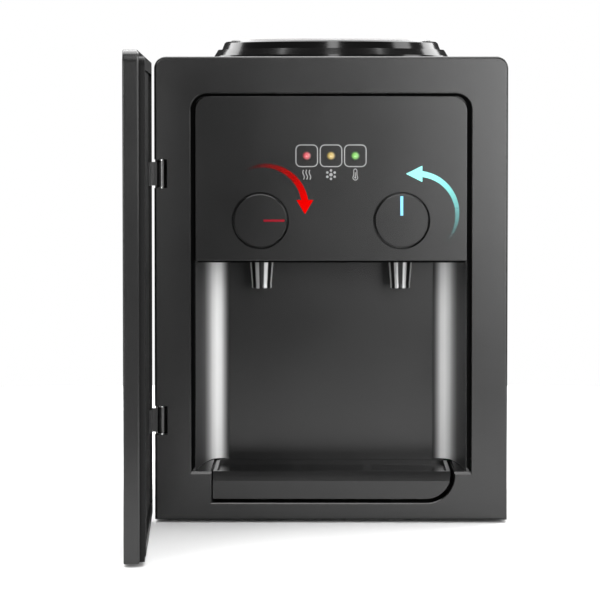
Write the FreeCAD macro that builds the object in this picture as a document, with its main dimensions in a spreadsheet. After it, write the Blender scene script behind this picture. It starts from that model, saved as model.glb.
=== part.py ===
import FreeCAD, Part
import math
import os
import re
import Sketcher

# Countertop water dispenser: a 300 mm wide case with a hinged door, a hot and a cold tap in a lit alcove,
# a drip tray and a bottle seat on top. Millimetres, +Z up, +Y towards the rear.
# Pieces are drawn from the case's own datum: the middle of the front frame's lower edge. Each piece's
# Placement then moves it to the part's frame, whose origin is the middle of the whole footprint, door open.

doc = FreeCAD.newDocument("water_dispenser")
sheet = doc.addObject("Spreadsheet::Sheet", "sizes")

driving = {
    # place in the part's frame
    "datum_shift": 9, "foot_height": 2.5,
    # case
    "case_width": 300, "case_height": 394, "case_depth": 276, "wall": 2.5, "case_corner": 10,
    "front_plate": 3, "frame_depth": 24, "front_edge": 2, "skin": 1.3, "cover_skirt": 14,
    # opening in the front frame, sill and alcove
    "opening_width": 238, "opening_top": 362.5, "opening_corner": 13.5, "sill": 41,
    "rim_bevel": 0.9, "sill_bevel": 2.2,
    "liner_front": 115.5, "liner_middle": 112.5, "liner_back": 103.5, "alcove_depth": 114,
    "liner_corner": 16, "alcove_top": 222, "trim": 1.5,
    # control panel
    "panel_width": 231, "panel_low": 220.8, "panel_high": 360.5, "panel_corner": 12.7, "groove": 8,
    # knobs and taps
    "knob_spread": 60, "knob_level": 255, "knob_radius": 22.3, "knob_proud": 0.6, "knob_bevel": 0.4,
    "well_radius": 23.75, "well_depth": 11,
    "spindle_radius": 3.5, "plug_radius": 5, "running_gap": 0.05, "tap_depth": 63, "tap_radius": 13,
    "nozzle_top": 10.5, "nozzle_low": 8.5, "nozzle_tip": 194.6, "water_bore": 5,
    # lamps
    "lamp_level": 310, "lamp_pitch": 20.6, "lamp_radius": 3.85,
    # tray
    "tray_left": 100.6, "tray_right": 102, "tray_low": 17.8, "tray_high": 40.5, "tray_corner": 21,
    "tray_front": 0.8, "tray_back": 108, "bay_left": 101.8, "bay_right": 105.2, "bay_low": 14.3,
    "bay_corner": 24, "grid_top": 36.5, "grid_plate": 2.5, "slot_width": 2.6,
    # door, in its closed place
    "door_inner": 2.7, "door_rim": 4.8, "door_slab": 12.4, "rim_inset": 5, "door_open": 88,
    "pin_in": 5.7, "pin_back": 5.2, "pin_radius": 2, "knuckle": 4, "hinge_high": 294.7, "hinge_low": 84.8,
    "notch_width": 11, "notch_height": 24.4, "notch_depth": 15,
    # collar and bottle seat
    "collar_back": 137, "collar_radius": 104, "collar_step": 402, "upper_radius": 94, "collar_top": 409,
    "collar_inner": 89.2, "seat_top": 410.3, "neck_radius": 28.5, "neck_low": 322, "neck_high": 350,
    # tanks and cooling
    "tank_radius": 62, "tank_low": 230, "tank_high": 290, "hot_x": -88, "hot_y": 195, "hot_radius": 38,
    "hot_low": 95, "hot_high": 205, "jacket": 46, "cool_level": 262, "fan_size": 80, "fan_radius": 37.5,
    "rotor_radius": 36, "hose": 5,
}

for line, (alias, number) in enumerate(driving.items(), 1):
    sheet.set(f"A{line}", alias)
    sheet.set(f"B{line}", str(number))
    sheet.setAlias(f"B{line}", alias)
doc.recompute()

subparts = []
word = re.compile(r"[a-z]+(?:_[a-z]+)*")


def size(alias):
    """The sheet's number for an alias."""
    return float(sheet.get(alias))


def bind(obj, prop, text):
    """Bind a property to an expression on the sheet's aliases."""
    obj.setExpression(prop, word.sub(lambda m: "sizes." + m[0] if m[0] in driving else m[0], str(text)))


# ---- primitives and booleans ----

def box(name, low, high):
    obj = doc.addObject("Part::Box", name)
    for prop, axis, start, end in zip(("Length", "Width", "Height"), "xyz", low, high):
        bind(obj, prop, f"({end}) - ({start})")
        bind(obj, "Placement.Base." + axis, start)
    return obj


def turned(axis):
    """The rotation that lays a primitive's own Z along an axis."""
    if axis == "x":
        return FreeCAD.Rotation(FreeCAD.Vector(0, 1, 0), 90)
    if axis == "y":
        return FreeCAD.Rotation(FreeCAD.Vector(1, 0, 0), -90)
    return FreeCAD.Rotation()


def rod(name, axis, start, end, radius, across):
    """A cylinder along an axis; across is its place on the other two axes, in X, Y, Z order."""
    obj = doc.addObject("Part::Cylinder", name)
    obj.Placement = FreeCAD.Placement(FreeCAD.Vector(), turned(axis))
    bind(obj, "Radius", radius)
    bind(obj, "Height", f"({end}) - ({start})")
    bind(obj, "Placement.Base." + axis, start)
    for other, place in zip("xyz".replace(axis, ""), across):
        bind(obj, "Placement.Base." + other, place)
    return obj


def fuse(name, *shapes):
    obj = doc.addObject("Part::MultiFuse", name)
    obj.Shapes = list(shapes)
    obj.Refine = True
    return obj


def cut(name, base, *tools):
    obj = doc.addObject("Part::Cut", name)
    obj.Base = base
    obj.Tool = tools[0] if len(tools) == 1 else fuse(name + "_tools", *tools)
    obj.Refine = True
    return obj


def along(axis, **places):
    """A test for straight edges along an axis whose middle is at the given places."""
    def test(edge):
        if edge.Curve.TypeId != "Part::GeomLine":
            return False
        if abs(getattr(edge.tangentAt(edge.FirstParameter), axis)) < 0.999:
            return False
        middle = edge.BoundBox.Center
        return all(abs(getattr(middle, key) - place) < 0.01 for key, place in places.items())
    return test


def in_plane(axis, place, reach=1e6):
    """A test for edges that lie in a plane across an axis, with their middle within reach of the axis."""
    def test(edge):
        bounds = edge.BoundBox
        low, high = getattr(bounds, axis.upper() + "Min"), getattr(bounds, axis.upper() + "Max")
        return abs(low - place) < 0.01 and abs(high - place) < 0.01 and abs(bounds.Center.x) < reach
    return test


def rounded(name, base, radius, *tests, kind="Part::Fillet"):
    """Fillet or chamfer a shape's edges that pass any of the tests."""
    doc.recompute()
    obj = doc.addObject(kind, name)
    obj.Base = base
    chosen = [i for i, edge in enumerate(base.Shape.Edges, 1) if any(test(edge) for test in tests)]
    if not chosen:
        raise RuntimeError(f"{name}: no edge to round")
    obj.Edges = [(i, radius, radius) for i in chosen]
    return obj


def plate(name, half, low, high, front, back, corner):
    """An upright plate across the case with its two top corners rounded."""
    blank = box(name + "_blank", (f"-({half})", front, low), (half, back, high))
    doc.recompute()
    side, top = blank.Length.Value / 2, blank.Placement.Base.z + blank.Height.Value
    return rounded(name, blank, corner, along("y", x=-side, z=top), along("y", x=side, z=top))


# ---- sketches and features ----

def new_body(name):
    return doc.addObject("PartDesign::Body", name + "_body")


def outline(body, name, role, offset, points):
    """One closed line through points on a body's own origin plane, each point bound to the sheet."""
    sketch = body.newObject("Sketcher::SketchObject", name)
    plane = next(item for item in body.Origin.OriginFeatures if item.Role == role)
    sketch.AttachmentSupport = (plane, [""])
    sketch.MapMode = "FlatFace"
    bind(sketch, "AttachmentOffset.Base.z", offset)
    doc.recompute()
    values = [[float(sketch_value(item)) for item in point] for point in points]
    corners = [FreeCAD.Vector(across, up, 0) for across, up in values]
    for index, corner in enumerate(corners):
        sketch.addGeometry(Part.LineSegment(corner, corners[(index + 1) % len(corners)]), False)
    for index in range(len(corners)):
        sketch.addConstraint(Sketcher.Constraint("Coincident", index, 2, (index + 1) % len(corners), 1))
    for index, point in enumerate(points):
        for kind, text, value in zip(("DistanceX", "DistanceY"), point, values[index]):
            number = sketch.addConstraint(Sketcher.Constraint(kind, -1, 1, index, 1, value))
            bind(sketch, f"Constraints[{number}]", text)
    return sketch


def sketch_value(text):
    """Work out a length written with the sheet's aliases, so that a sketch is drawn near its final shape."""
    probe = doc.getObject("probe") or doc.addObject("App::FeaturePython", "probe")
    if "reading" not in probe.PropertiesList:
        probe.addProperty("App::PropertyFloat", "reading")
    bind(probe, "reading", text)
    probe.recompute()
    return probe.reading


def revolved(body, name, offset, points, role="XZ_Plane"):
    """A body of revolution about the sketch's own upright axis."""
    sketch = outline(body, name + "_profile", role, offset, points)
    turn = body.newObject("PartDesign::Revolution", name)
    turn.Profile = sketch
    turn.ReferenceAxis = (sketch, ["V_Axis"])
    turn.Angle = 360
    return turn


def padded(body, name, role, offset, points, length, reverse=False):
    pad = body.newObject("PartDesign::Pad", name)
    pad.Profile = outline(body, name + "_outline", role, offset, points)
    bind(pad, "Length", length)
    pad.Reversed = reverse
    return pad


def pocketed(body, name, role, offset, points, length, reverse=False):
    """Cut a pocket and make sure that it took something away."""
    doc.recompute()
    before = body.Shape.Volume
    pocket = body.newObject("PartDesign::Pocket", name)
    pocket.Profile = outline(body, name + "_outline", role, offset, points)
    bind(pocket, "Length", length)
    pocket.Reversed = reverse
    doc.recompute()
    if body.Shape.Volume > before - 0.01:
        raise RuntimeError(f"{name}: the pocket cut nothing")
    return pocket


def rectangle(left, low, right, high):
    return [(left, low), (right, low), (right, high), (left, high)]


def dressed(body, name, radius, *tests, kind="PartDesign::Fillet"):
    """Fillet or chamfer the edges of a body's tip that pass any of the tests."""
    doc.recompute()
    tip = body.Tip
    chosen = [f"Edge{i}" for i, edge in enumerate(tip.Shape.Edges, 1) if any(test(edge) for test in tests)]
    if not chosen:
        raise RuntimeError(f"{name}: no edge to round")
    feature = body.newObject(kind, name)
    feature.Base = (tip, chosen)
    if kind == "PartDesign::Fillet":
        bind(feature, "Radius", radius)
    else:
        bind(feature, "Size", radius)
    return feature


# ---- placing the finished pieces ----

def settle(obj, label, x="0", y="0", z="0", tilt=None):
    """Name a finished piece and move it from the case's datum to the part's frame."""
    obj.Label = label
    if tilt:
        obj.Placement = FreeCAD.Placement(FreeCAD.Vector(), tilt)
    bind(obj, "Placement.Base.x", f"datum_shift + ({x})")
    bind(obj, "Placement.Base.y", y)
    bind(obj, "Placement.Base.z", f"foot_height + ({z})")
    subparts.append(obj)


def settle_on_door(obj, label):
    """Name a piece drawn on the closed door and swing it open about the hinge pins."""
    obj.Label = label
    pin = FreeCAD.Vector(pin_x, size("pin_back"), 0)
    swing = FreeCAD.Rotation(FreeCAD.Vector(0, 0, 1), -size("door_open"))
    shift = FreeCAD.Placement(FreeCAD.Vector(size("datum_shift"), 0, size("foot_height")), FreeCAD.Rotation())
    obj.Placement = shift * FreeCAD.Placement(FreeCAD.Vector(), swing, pin)
    subparts.append(obj)


half_width = size("case_width") / 2
pin_x = -half_width + size("pin_in")
half = "case_width / 2"
hinges = {"high": "hinge_high", "low": "hinge_low"}


# ---- case ----

def notch(name, level, grow="0"):
    """The space that a hinge arm swings in, at the frame's left edge."""
    return box(name, (f"-{half} - 1", "-1", f"{level} - notch_height / 2"),
               (f"-{half} + notch_width", "notch_depth", f"{level} + notch_height / 2"))


def front_frame():
    blank = plate("frame_blank_round", half, "0", "case_height", "0", "frame_depth", size("case_corner"))
    shell = rounded("frame_edge", blank, size("front_edge"), in_plane("y", 0))
    inside = size("case_corner") - size("wall")
    hollow = plate("frame_hollow", f"{half} - wall", "wall", "case_height - wall", "front_plate",
                   "frame_depth + 1", inside)
    window = plate("frame_window", "opening_width / 2", "sill", "opening_top", "-1", "front_plate + 1",
                   size("opening_corner"))
    slot = box("frame_slot", ("-bay_left", "-1", "bay_low"), ("bay_right", "front_plate + 1", "sill + 1"))
    slot = rounded("frame_slot_round", slot, size("bay_corner"),
                   along("y", x=size("bay_right"), z=size("bay_low")))
    notches = [notch(f"notch_{name}", level) for name, level in hinges.items()]
    frame = cut("frame_cut", shell, hollow, window, slot, *notches)
    reach = size("opening_width") / 2 + 1
    low = size("bay_low")

    def rim(edge):
        return in_plane("y", 0, reach)(edge) and low - 0.1 < edge.BoundBox.ZMin < size("opening_top") + 0.1
    frame = rounded("frame_rim", frame, size("rim_bevel"), rim, kind="Part::Chamfer")
    # the two short ledges of the sill carry a broader bevel than the rest of the rim
    edges = frame.Base.Shape.Edges
    frame.Edges = [(i, *([size("sill_bevel") if abs(edges[i - 1].BoundBox.Center.z - size("sill")) < 0.1
                          else size("rim_bevel")] * 2)) for i, _, _ in frame.Edges]
    settle(frame, "front_frame")


def control_panel():
    face = plate("panel_face", "panel_width / 2", "panel_low", "panel_high", "0.3", "0.3 + front_plate",
                 size("panel_corner"))
    face = rounded("panel_edge", face, 0.8, in_plane("y", 0.3))
    ring = plate("panel_ring", "panel_width / 2 - 2", "panel_low", "panel_high - 2", "3.2", "groove + 2",
                 size("panel_corner") - 2)
    skirt = plate("panel_skirt", "opening_width / 2 - 0.3", "panel_low + 0.2", "opening_top - 0.3", "groove",
                  "groove + 2", size("opening_corner") - 0.3)
    hollow = plate("panel_hollow", "panel_width / 2 - 4.5", "panel_low + 2", "panel_high - 4.5",
                   "0.3 + front_plate", "groove + 3", size("panel_corner") - 4.5)
    shell = cut("panel_shell", fuse("panel_blank", face, ring, skirt), hollow)
    cups, holes = [], []
    for name, sign in (("hot", "-"), ("cold", "")):
        middle = (f"{sign}knob_spread", "knob_level")
        cups.append(rod(f"well_{name}", "y", "2", "well_depth + 2", "well_radius + 2", middle))
        holes.append(rod(f"well_space_{name}", "y", "-1", "well_depth", "well_radius", middle))
        holes.append(rod(f"well_hole_{name}", "y", "-1", "well_depth + 3", "plug_radius", middle))
    for index in range(3):
        middle = (f"lamp_pitch * ({index} - 1)", "lamp_level")
        holes.append(rod(f"lamp_hole_{index}", "y", "-1", "front_plate + 2", "lamp_radius + 0.15", middle))
    face = cut("panel_cut", fuse("panel_with_wells", shell, *cups), *holes)
    well = 2 * size("well_radius")

    def well_rim(edge):
        return in_plane("y", 0.3)(edge) and abs(edge.BoundBox.ZLength - well) < 0.1
    settle(rounded("panel_well_rims", face, 0.5, well_rim, kind="Part::Chamfer"), "control_panel")


def plan(widen, back, front="groove - 4.5"):
    """Half of the alcove's plan, mirrored: straight cheeks that close in towards the back."""
    right = [(f"liner_front + {widen}", front), (f"liner_middle + {widen}", "60"),
             (f"liner_back + {widen}", back)]
    return right + [(f"-({across})", up) for across, up in reversed(right)]


def alcove_liner():
    body = new_body("alcove_liner")
    padded(body, "liner_block", "XY_Plane", "sill - 2", plan(2, "alcove_depth + 2"), "alcove_top - sill + 4")
    pocketed(body, "liner_space", "XY_Plane", "alcove_top", plan(0, "alcove_depth", "-1"),
             "alcove_top - sill")
    dressed(body, "liner_space_round", "liner_corner", along("z", y=size("alcove_depth")))
    dressed(body, "liner_block_round", "liner_corner + 2", along("z", y=size("alcove_depth") + 2))
    padded(body, "liner_flange_left", "XY_Plane", "sill - 2",
           rectangle("-opening_width / 2 + 0.3", "groove", "-liner_front - 1",
                     "groove + 2"), "alcove_top - sill + 0.5")
    padded(body, "liner_flange_right", "XY_Plane", "sill - 2",
           rectangle("liner_front + 1", "groove", "opening_width / 2 - 0.3",
                     "groove + 2"), "alcove_top - sill + 0.5")
    pocketed(body, "liner_tray_hole", "XY_Plane", "sill + 1",
             rectangle("-bay_left - 1", "-1", "bay_right + 1", "alcove_depth - 2"), "4")
    pocketed(body, "liner_lip_space", "XY_Plane", "alcove_top + 3",
             rectangle("-liner_front - 3", "0", "liner_front + 3", "groove + 2.5"), "4.3")
    for name, sign in (("hot", "-"), ("cold", "")):
        middle = f"{sign}knob_spread"
        reach = "(nozzle_top + 0.7)"
        pocketed(body, f"liner_nozzle_{name}", "XY_Plane", "alcove_top + 3",
                 rectangle(f"{middle} - {reach}", f"tap_depth - {reach}", f"{middle} + {reach}",
                           f"tap_depth + {reach}"),
                 "4")
    settle(body, "alcove_liner")


def corner_trims():
    """A thin bright cove in each rear corner of the alcove, concentric with the liner's round corner."""
    lean = math.degrees(math.atan2(size("liner_middle") - size("liner_back"), size("alcove_depth") - 60))
    turn = math.radians(lean)
    corner = size("liner_corner")
    middle_y = size("alcove_depth") - corner
    # the cheek's line at the height of the corner's centre, less the radius measured square to the cheek
    cheek = size("liner_back") + corner * math.tan(turn)
    middle_x = cheek - corner / math.cos(turn)
    for side, sign, start in (("right", 1, lean), ("left", -1, 90)):
        shells = []
        for name, radius, low, high in (("outer", "liner_corner - 0.15", "sill + 0.1", "alcove_top - 0.1"),
                                        ("inner", "liner_corner - 0.15 - trim", "sill", "alcove_top")):
            shell = rod(f"trim_{side}_{name}", "z", low, high, radius, (str(sign * middle_x), str(middle_y)))
            shells.append(shell)
        shells[0].Angle = 90 - lean
        shells[0].Placement.Rotation = FreeCAD.Rotation(FreeCAD.Vector(0, 0, 1), start)
        settle(cut(f"trim_{side}_cut", *shells), f"corner_trim_{side}")


def side_panels():
    for side, low, high in (("left", f"-{half}", f"-{half} + skin"), ("right", f"{half} - skin", half)):
        sheet_metal = box(f"side_{side}_blank", (low, "frame_depth", "wall"),
                          (high, "case_depth", "case_height - cover_skirt"))
        slots = []
        for row in range(7):
            level = f"cool_level - 40 + {row * 12}"
            slots.append(box(f"side_{side}_slot_{row}", (f"{low} - 1", "205", level),
                             (f"{high} + 1", "245", f"{level} + 4")))
        settle(cut(f"side_{side}_cut", sheet_metal, *slots), f"{side}_side_panel")


def top_cover():
    corner = size("case_corner")
    lid = plate("cover_blank", half, "case_height - cover_skirt", "case_height", "frame_depth",
                "case_depth", corner)
    lid = rounded("cover_edge", lid, 4, in_plane("y", size("case_depth")))
    hollow = plate("cover_hollow", f"{half} - wall", "case_height - cover_skirt - 1", "case_height - wall",
                   "frame_depth - 1", "case_depth - wall", corner - size("wall"))
    hollow = rounded("cover_hollow_edge", hollow, 2, in_plane("y", size("case_depth") - size("wall")))
    hole = rod("cover_hole", "z", "case_height - 5", "case_height + 1", "84", ("0", "collar_back"))
    settle(cut("cover_cut", lid, hollow, hole), "top_cover")


def rear_panel():
    outer = box("rear_blank", (f"-{half} + skin", "case_depth - 1.5", "wall"),
                (f"{half} - skin", "case_depth", "case_height - cover_skirt"))
    holes = []
    for row in range(9):
        up = -34 + row * 8.5
        reach = round(math.sqrt(size("fan_radius") ** 2 - up ** 2), 1) if abs(up) < size("fan_radius") else 15
        level = f"cool_level + {up}"
        holes.append(box(f"rear_slot_{row}", (f"-{reach}", "case_depth - 3", f"{level} - 2"),
                         (f"{reach}", "case_depth + 1", f"{level} + 2")))
    for row in range(5):
        holes.append(box(f"rear_low_slot_{row}", ("-30", "case_depth - 3", f"{60 + row * 12}"),
                         ("60", "case_depth + 1", f"{64 + row * 12}")))
    for name, across in switches.items():
        holes.append(box(f"rear_switch_hole_{name}",
                         (f"{across} - 9.5", "case_depth - 3", f"{switch_level} - 11.5"),
                         (f"{across} + 9.5", "case_depth + 1", f"{switch_level} + 11.5")))
    holes.append(box("rear_inlet_hole", (f"{inlet_x} - 14", "case_depth - 3", f"{inlet_z} - 10.5"),
                     (f"{inlet_x} + 14", "case_depth + 1", f"{inlet_z} + 10.5")))
    holes.append(rod("rear_drain_hole", "y", "case_depth - 3", "case_depth + 1", "7.2", ("hot_x", drain_z)))
    for index, (across, level) in enumerate(screw_places):
        holes.append(rod(f"rear_screw_hole_{index}", "y", "case_depth - 3", "case_depth + 1", "1.6",
                         (across, level)))
    settle(cut("rear_cut", outer, *holes), "rear_panel")


def case_screws():
    screws = []
    for index, (across, level) in enumerate(screw_places):
        head = rod(f"screw_head_{index}", "y", "case_depth", "case_depth + 2.2", "3.4", (across, level))
        head = rounded(f"screw_crown_{index}", head, 1, in_plane("y", size("case_depth") + 2.2))
        shank = rod(f"screw_shank_{index}", "y", "case_depth - 9", "case_depth + 0.5", "1.5", (across, level))
        slots = [box(f"screw_cross_{index}_{way}",
                     (f"{across} - {wide}", "case_depth + 1.2", f"{level} - {tall}"),
                     (f"{across} + {wide}", "case_depth + 3", f"{level} + {tall}"))
                 for way, wide, tall in (("flat", 1.8, 0.4), ("tall", 0.4, 1.8))]
        screws.append(cut(f"screw_{index}", fuse(f"screw_solid_{index}", head, shank), *slots))
    settle(fuse("screw_set", *screws), "case_screws")


def base_and_feet():
    floor = box("base_blank", (f"-{half} + wall", "frame_depth", "0"),
                (f"{half} - wall", "case_depth - 1.6", "2.4"))
    vents = [box(f"base_vent_{row}", ("-60", f"{150 + row * 14}", "-1"), ("20", f"{155 + row * 14}", "4"))
             for row in range(6)]
    settle(cut("base_cut", floor, *vents), "base_plate")
    feet = []
    for index, (across, back) in enumerate(((-126, 42), (126, 42), (-126, 248), (126, 248))):
        foot = rod(f"foot_blank_{index}", "z", "-foot_height", "0", "9", (across, back))
        feet.append(rounded(f"foot_{index}", foot, 0.8, in_plane("z", -size("foot_height"), 200)))
    settle(fuse("foot_set", *feet), "feet")


# ---- collar and bottle seat ----

def collar():
    lower = new_body("collar_lower")
    revolved(lower, "collar_lower_turn", "-collar_back",
             [("collar_inner", "case_height"), ("collar_radius", "case_height"),
              ("collar_radius - 0.6", "case_height + 2.5"), ("collar_radius - 4", "collar_step"),
              ("collar_inner", "collar_step")])
    settle(lower, "collar_ring_lower")
    upper = new_body("collar_upper")
    revolved(upper, "collar_upper_turn", "-collar_back",
             [("collar_inner", "collar_step"), ("upper_radius + 2.6", "collar_step"),
              ("upper_radius + 0.4", "collar_top - 1.2"), ("upper_radius - 1", "collar_top"),
              ("collar_inner", "collar_top")])
    settle(upper, "collar_ring_upper")


def bottle_seat():
    """A funnel that takes the bottle's shoulder, over a round socket that takes its neck."""
    seat = new_body("seat")
    revolved(seat, "seat_turn", "-collar_back",
             [("collar_inner - 0.5", "case_height"), ("collar_inner - 0.5", "seat_top - 1.2"),
              ("collar_inner - 1.2", "seat_top"), ("collar_inner - 3", "seat_top"),
              ("collar_inner - 3.7", "seat_top - 1.2"), ("81.5", "case_height + 2"), ("36", "neck_high + 7"),
              ("neck_radius", "neck_high"), ("neck_radius", "neck_low"), ("neck_radius - 0.6", "neck_low"),
              ("neck_radius - 0.6", "300"), ("20", "300"), ("20", "297"), ("neck_radius + 3", "297"),
              ("neck_radius + 3", "neck_high - 4"), ("38.5", "neck_high + 4"), ("83.5", "case_height - 1.5"),
              ("83.5", "case_height")])
    settle(seat, "bottle_seat")
    probe = new_body("probe")
    revolved(probe, "probe_turn", "-collar_back",
             [("0", "neck_low - 1"), ("3", "neck_low - 1.6"), ("8", "neck_low - 8"), ("8", "304"),
              ("27", "302.5"),
              ("27", "300"), ("12", "300"), ("10", "298"), ("10", "286"), ("5", "286"), ("5", "neck_low - 8"),
              ("0", "neck_low - 4")])
    pocketed(probe, "probe_port", "XZ_Plane", "-collar_back",
             rectangle("-2", "306", "2", "312"), "12")
    settle(probe, "bottle_probe")
    seal = doc.addObject("Part::Cut", "seal_cut")
    seal.Base = rod("seal_outer", "z", "294.5", "296.9", "30", ("0", "collar_back"))
    seal.Tool = rod("seal_inner", "z", "294", "298", "22", ("0", "collar_back"))
    settle(seal, "seat_seal")


# ---- door ----

def door():
    outer, inner = "-door_inner - door_rim - door_slab", "-door_inner - door_rim"
    corner = size("case_corner")
    slab = plate("door_slab_blank", half, "0", "case_height", outer, inner, corner)
    depth = size("door_inner") + size("door_rim")
    slab = rounded("door_front_edge", slab, 1, in_plane("y", -depth - size("door_slab")))
    slab = rounded("door_back_edge", slab, 1.2, in_plane("y", -depth), kind="Part::Chamfer")
    hollow = plate("door_hollow", f"{half} - wall", "wall", "case_height - wall", f"{outer} + wall",
                   f"{inner} + 1", corner - size("wall"))
    settle_on_door(cut("door_cut", slab, hollow), "door_panel")

    base = plate("liner_base", f"{half} - wall - 0.2", "wall + 0.2", "case_height - wall - 0.2",
                 f"{inner} - 2", inner, corner - size("wall"))
    rim = plate("liner_rim", f"{half} - rim_inset", "rim_inset", "case_height - rim_inset", f"{inner} - 1",
                "-door_inner", corner - 2)
    rim = rounded("liner_rim_edge", rim, 0.8, in_plane("y", -size("door_inner")))
    foot = box("liner_foot", (f"-({half} - rim_inset)", inner, "1"),
               (f"{half} - rim_inset", "-door_inner - 1", "rim_inset + 2"))
    dish = plate("liner_dish", f"{half} - 3 * rim_inset", "3 * rim_inset", "case_height - 3 * rim_inset",
                 "-door_inner - 2.3", "1", corner - 3)
    feet = [box(f"arm_seat_{name}", (f"-{half}", "-door_inner - 3", f"{level} - 10.1"),
                (f"-{half} + pin_in + 18.4", "1", f"{level} + 10.1")) for name, level in hinges.items()]
    settle_on_door(cut("door_liner_cut", fuse("door_liner_blank", base, rim, foot), dish, *feet),
                   "door_liner")

    strike = box("strike", (f"{half} - 26", f"{inner} - 4", "186"), (f"{half} - 14", f"{inner} - 2", "214"))
    settle_on_door(rounded("strike_edge", strike, 0.4, in_plane("y", -depth - 4)), "door_strike_plate")


def door_hinges():
    arms, pins, brackets = [], [], []
    middle = (f"-{half} + pin_in", "pin_back")
    for name, level in hinges.items():
        low, high = f"{level} - notch_height / 2", f"{level} + notch_height / 2"
        knuckle = rod(f"knuckle_{name}", "z", f"{low} + 1", f"{high} - 1", "knuckle", middle)
        neck = box(f"arm_neck_{name}", (f"-{half} + pin_in - 2", "-door_inner - 3", f"{level} - 10"),
                   (f"-{half} + pin_in + 2", "pin_back", f"{level} + 10"))
        leaf = box(f"arm_leaf_{name}", (f"-{half} + pin_in - 2", "-door_inner - 3", f"{level} - 10"),
                   (f"-{half} + pin_in + 18", "-door_inner", f"{level} + 10"))
        eye = rod(f"arm_eye_{name}", "z", low, high, "pin_radius + running_gap", middle)
        arms.append(cut(f"arm_{name}", fuse(f"arm_blank_{name}", knuckle, neck, leaf), eye))
        pins.append(rod(f"pin_{name}", "z", f"{low} - 3.5", f"{high} + 3.5", "pin_radius", middle))
        block = box(f"bracket_block_{name}", (f"-{half} + wall", "front_plate", f"{low} - 4.5"),
                    (f"-{half} + notch_width + 3", "notch_depth + 3", f"{high} + 4.5"))
        bore = rod(f"bracket_bore_{name}", "z", f"{low} - 3.5", f"{high} + 3.5", "pin_radius", middle)
        brackets.append(cut(f"bracket_{name}", block, notch(f"bracket_space_{name}", level), bore))
    settle_on_door(fuse("arm_set", *arms), "door_hinge_arms")
    settle(fuse("pin_set", *pins), "hinge_pins")
    settle(fuse("bracket_set", *brackets), "hinge_brackets")
    magnet = box("magnet", (f"{half} - 26", "front_plate", "188"), (f"{half} - 14", "front_plate + 6", "212"))
    settle(rounded("magnet_edge", magnet, 0.6, in_plane("y", size("front_plate") + 6)), "door_magnet")


# ---- knobs, taps and lamps ----

def knob(name, sign, groove_low, groove_high):
    """A flush disc whose inlaid mark shows where it points; groove corners are measured from its centre."""
    disc = new_body(f"knob_{name}")
    revolved(disc, f"knob_{name}_turn", "0",
             [("0", "-knob_proud"), ("knob_radius - knob_bevel", "-knob_proud"),
              ("knob_radius", "knob_bevel - knob_proud"), ("knob_radius", "well_depth - 0.6"),
              ("knob_radius - 2", "well_depth - 0.6"), ("knob_radius - 2", "3"), ("6", "3"),
              ("6", "well_depth - 0.6"),
              ("spindle_radius", "well_depth - 0.6"), ("spindle_radius", "4.3"), ("0", "4.3")], "XY_Plane")
    pocketed(disc, f"knob_{name}_groove", "XZ_Plane", "0.6",
             rectangle(groove_low[0], groove_low[1], groove_high[0], groove_high[1]), "0.8")
    settle(disc, f"knob_{name}", f"{sign}knob_spread", "0", "knob_level")
    mark = box(f"mark_{name}", (groove_low[0], "-0.62", groove_low[1]),
               (groove_high[0], "0.2", groove_high[1]))
    mark = rounded(f"mark_{name}_edge", mark, 0.15, in_plane("y", -0.62), kind="Part::Chamfer")
    settle(mark, f"knob_{name}_mark", f"{sign}knob_spread", "0", "knob_level")


def spindle(name, sign, port_axis):
    """The knob's shaft and the tap's plug in one piece, with the water port across the plug."""
    shaft = rod(f"shaft_{name}", "y", "4.3", "38", "spindle_radius", ("0", "0"))
    plug = rod(f"plug_{name}", "y", "37", "tap_depth + 6", "plug_radius", ("0", "0"))
    port = rod(f"port_{name}", port_axis, "-9", "9", "3",
               ("0", "tap_depth") if port_axis == "z" else ("tap_depth", "0"))
    settle(cut(f"spindle_{name}_cut", fuse(f"spindle_{name}_solid", shaft, plug), port),
           f"tap_spindle_{name}", f"{sign}knob_spread", "0", "knob_level")


def tap(name, sign):
    across = f"{sign}knob_spread"
    barrel = rod(f"barrel_{name}", "z", "226", "275", "tap_radius", (across, "tap_depth"))
    barrel = rounded(f"barrel_round_{name}", barrel, 2, in_plane("z", 275, 200))
    boss = rod(f"boss_{name}", "y", "40", "tap_depth", "plug_radius + 4", (across, "knob_level"))
    inlet = rod(f"inlet_{name}", "y", "tap_depth", "tap_depth + 21", "hose - 0.5", (across, "252"))
    waterway = rod(f"waterway_{name}", "z", "225", "knob_level", "4", (across, "tap_depth"))
    bore = rod(f"plug_bore_{name}", "y", "39", "tap_depth + 6.3", "plug_radius + running_gap",
               (across, "knob_level"))
    feed = rod(f"feed_{name}", "y", "tap_depth + 4", "tap_depth + 22", "3", (across, "252"))
    settle(cut(f"tap_{name}_cut", fuse(f"tap_{name}_solid", barrel, boss, inlet), waterway, bore, feed),
           f"tap_body_{name}")
    spout = new_body(f"nozzle_{name}")
    revolved(spout, f"nozzle_{name}_turn", "-tap_depth",
             [("water_bore", "226"), ("nozzle_top", "226"), ("nozzle_top", "alcove_top - 3"),
              ("nozzle_low + 0.3", "nozzle_tip + 4"), ("nozzle_low + 0.3", "nozzle_tip + 0.6"),
              ("nozzle_low - 0.4", "nozzle_tip"), ("water_bore", "nozzle_tip")])
    settle(spout, f"nozzle_{name}", across)


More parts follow.
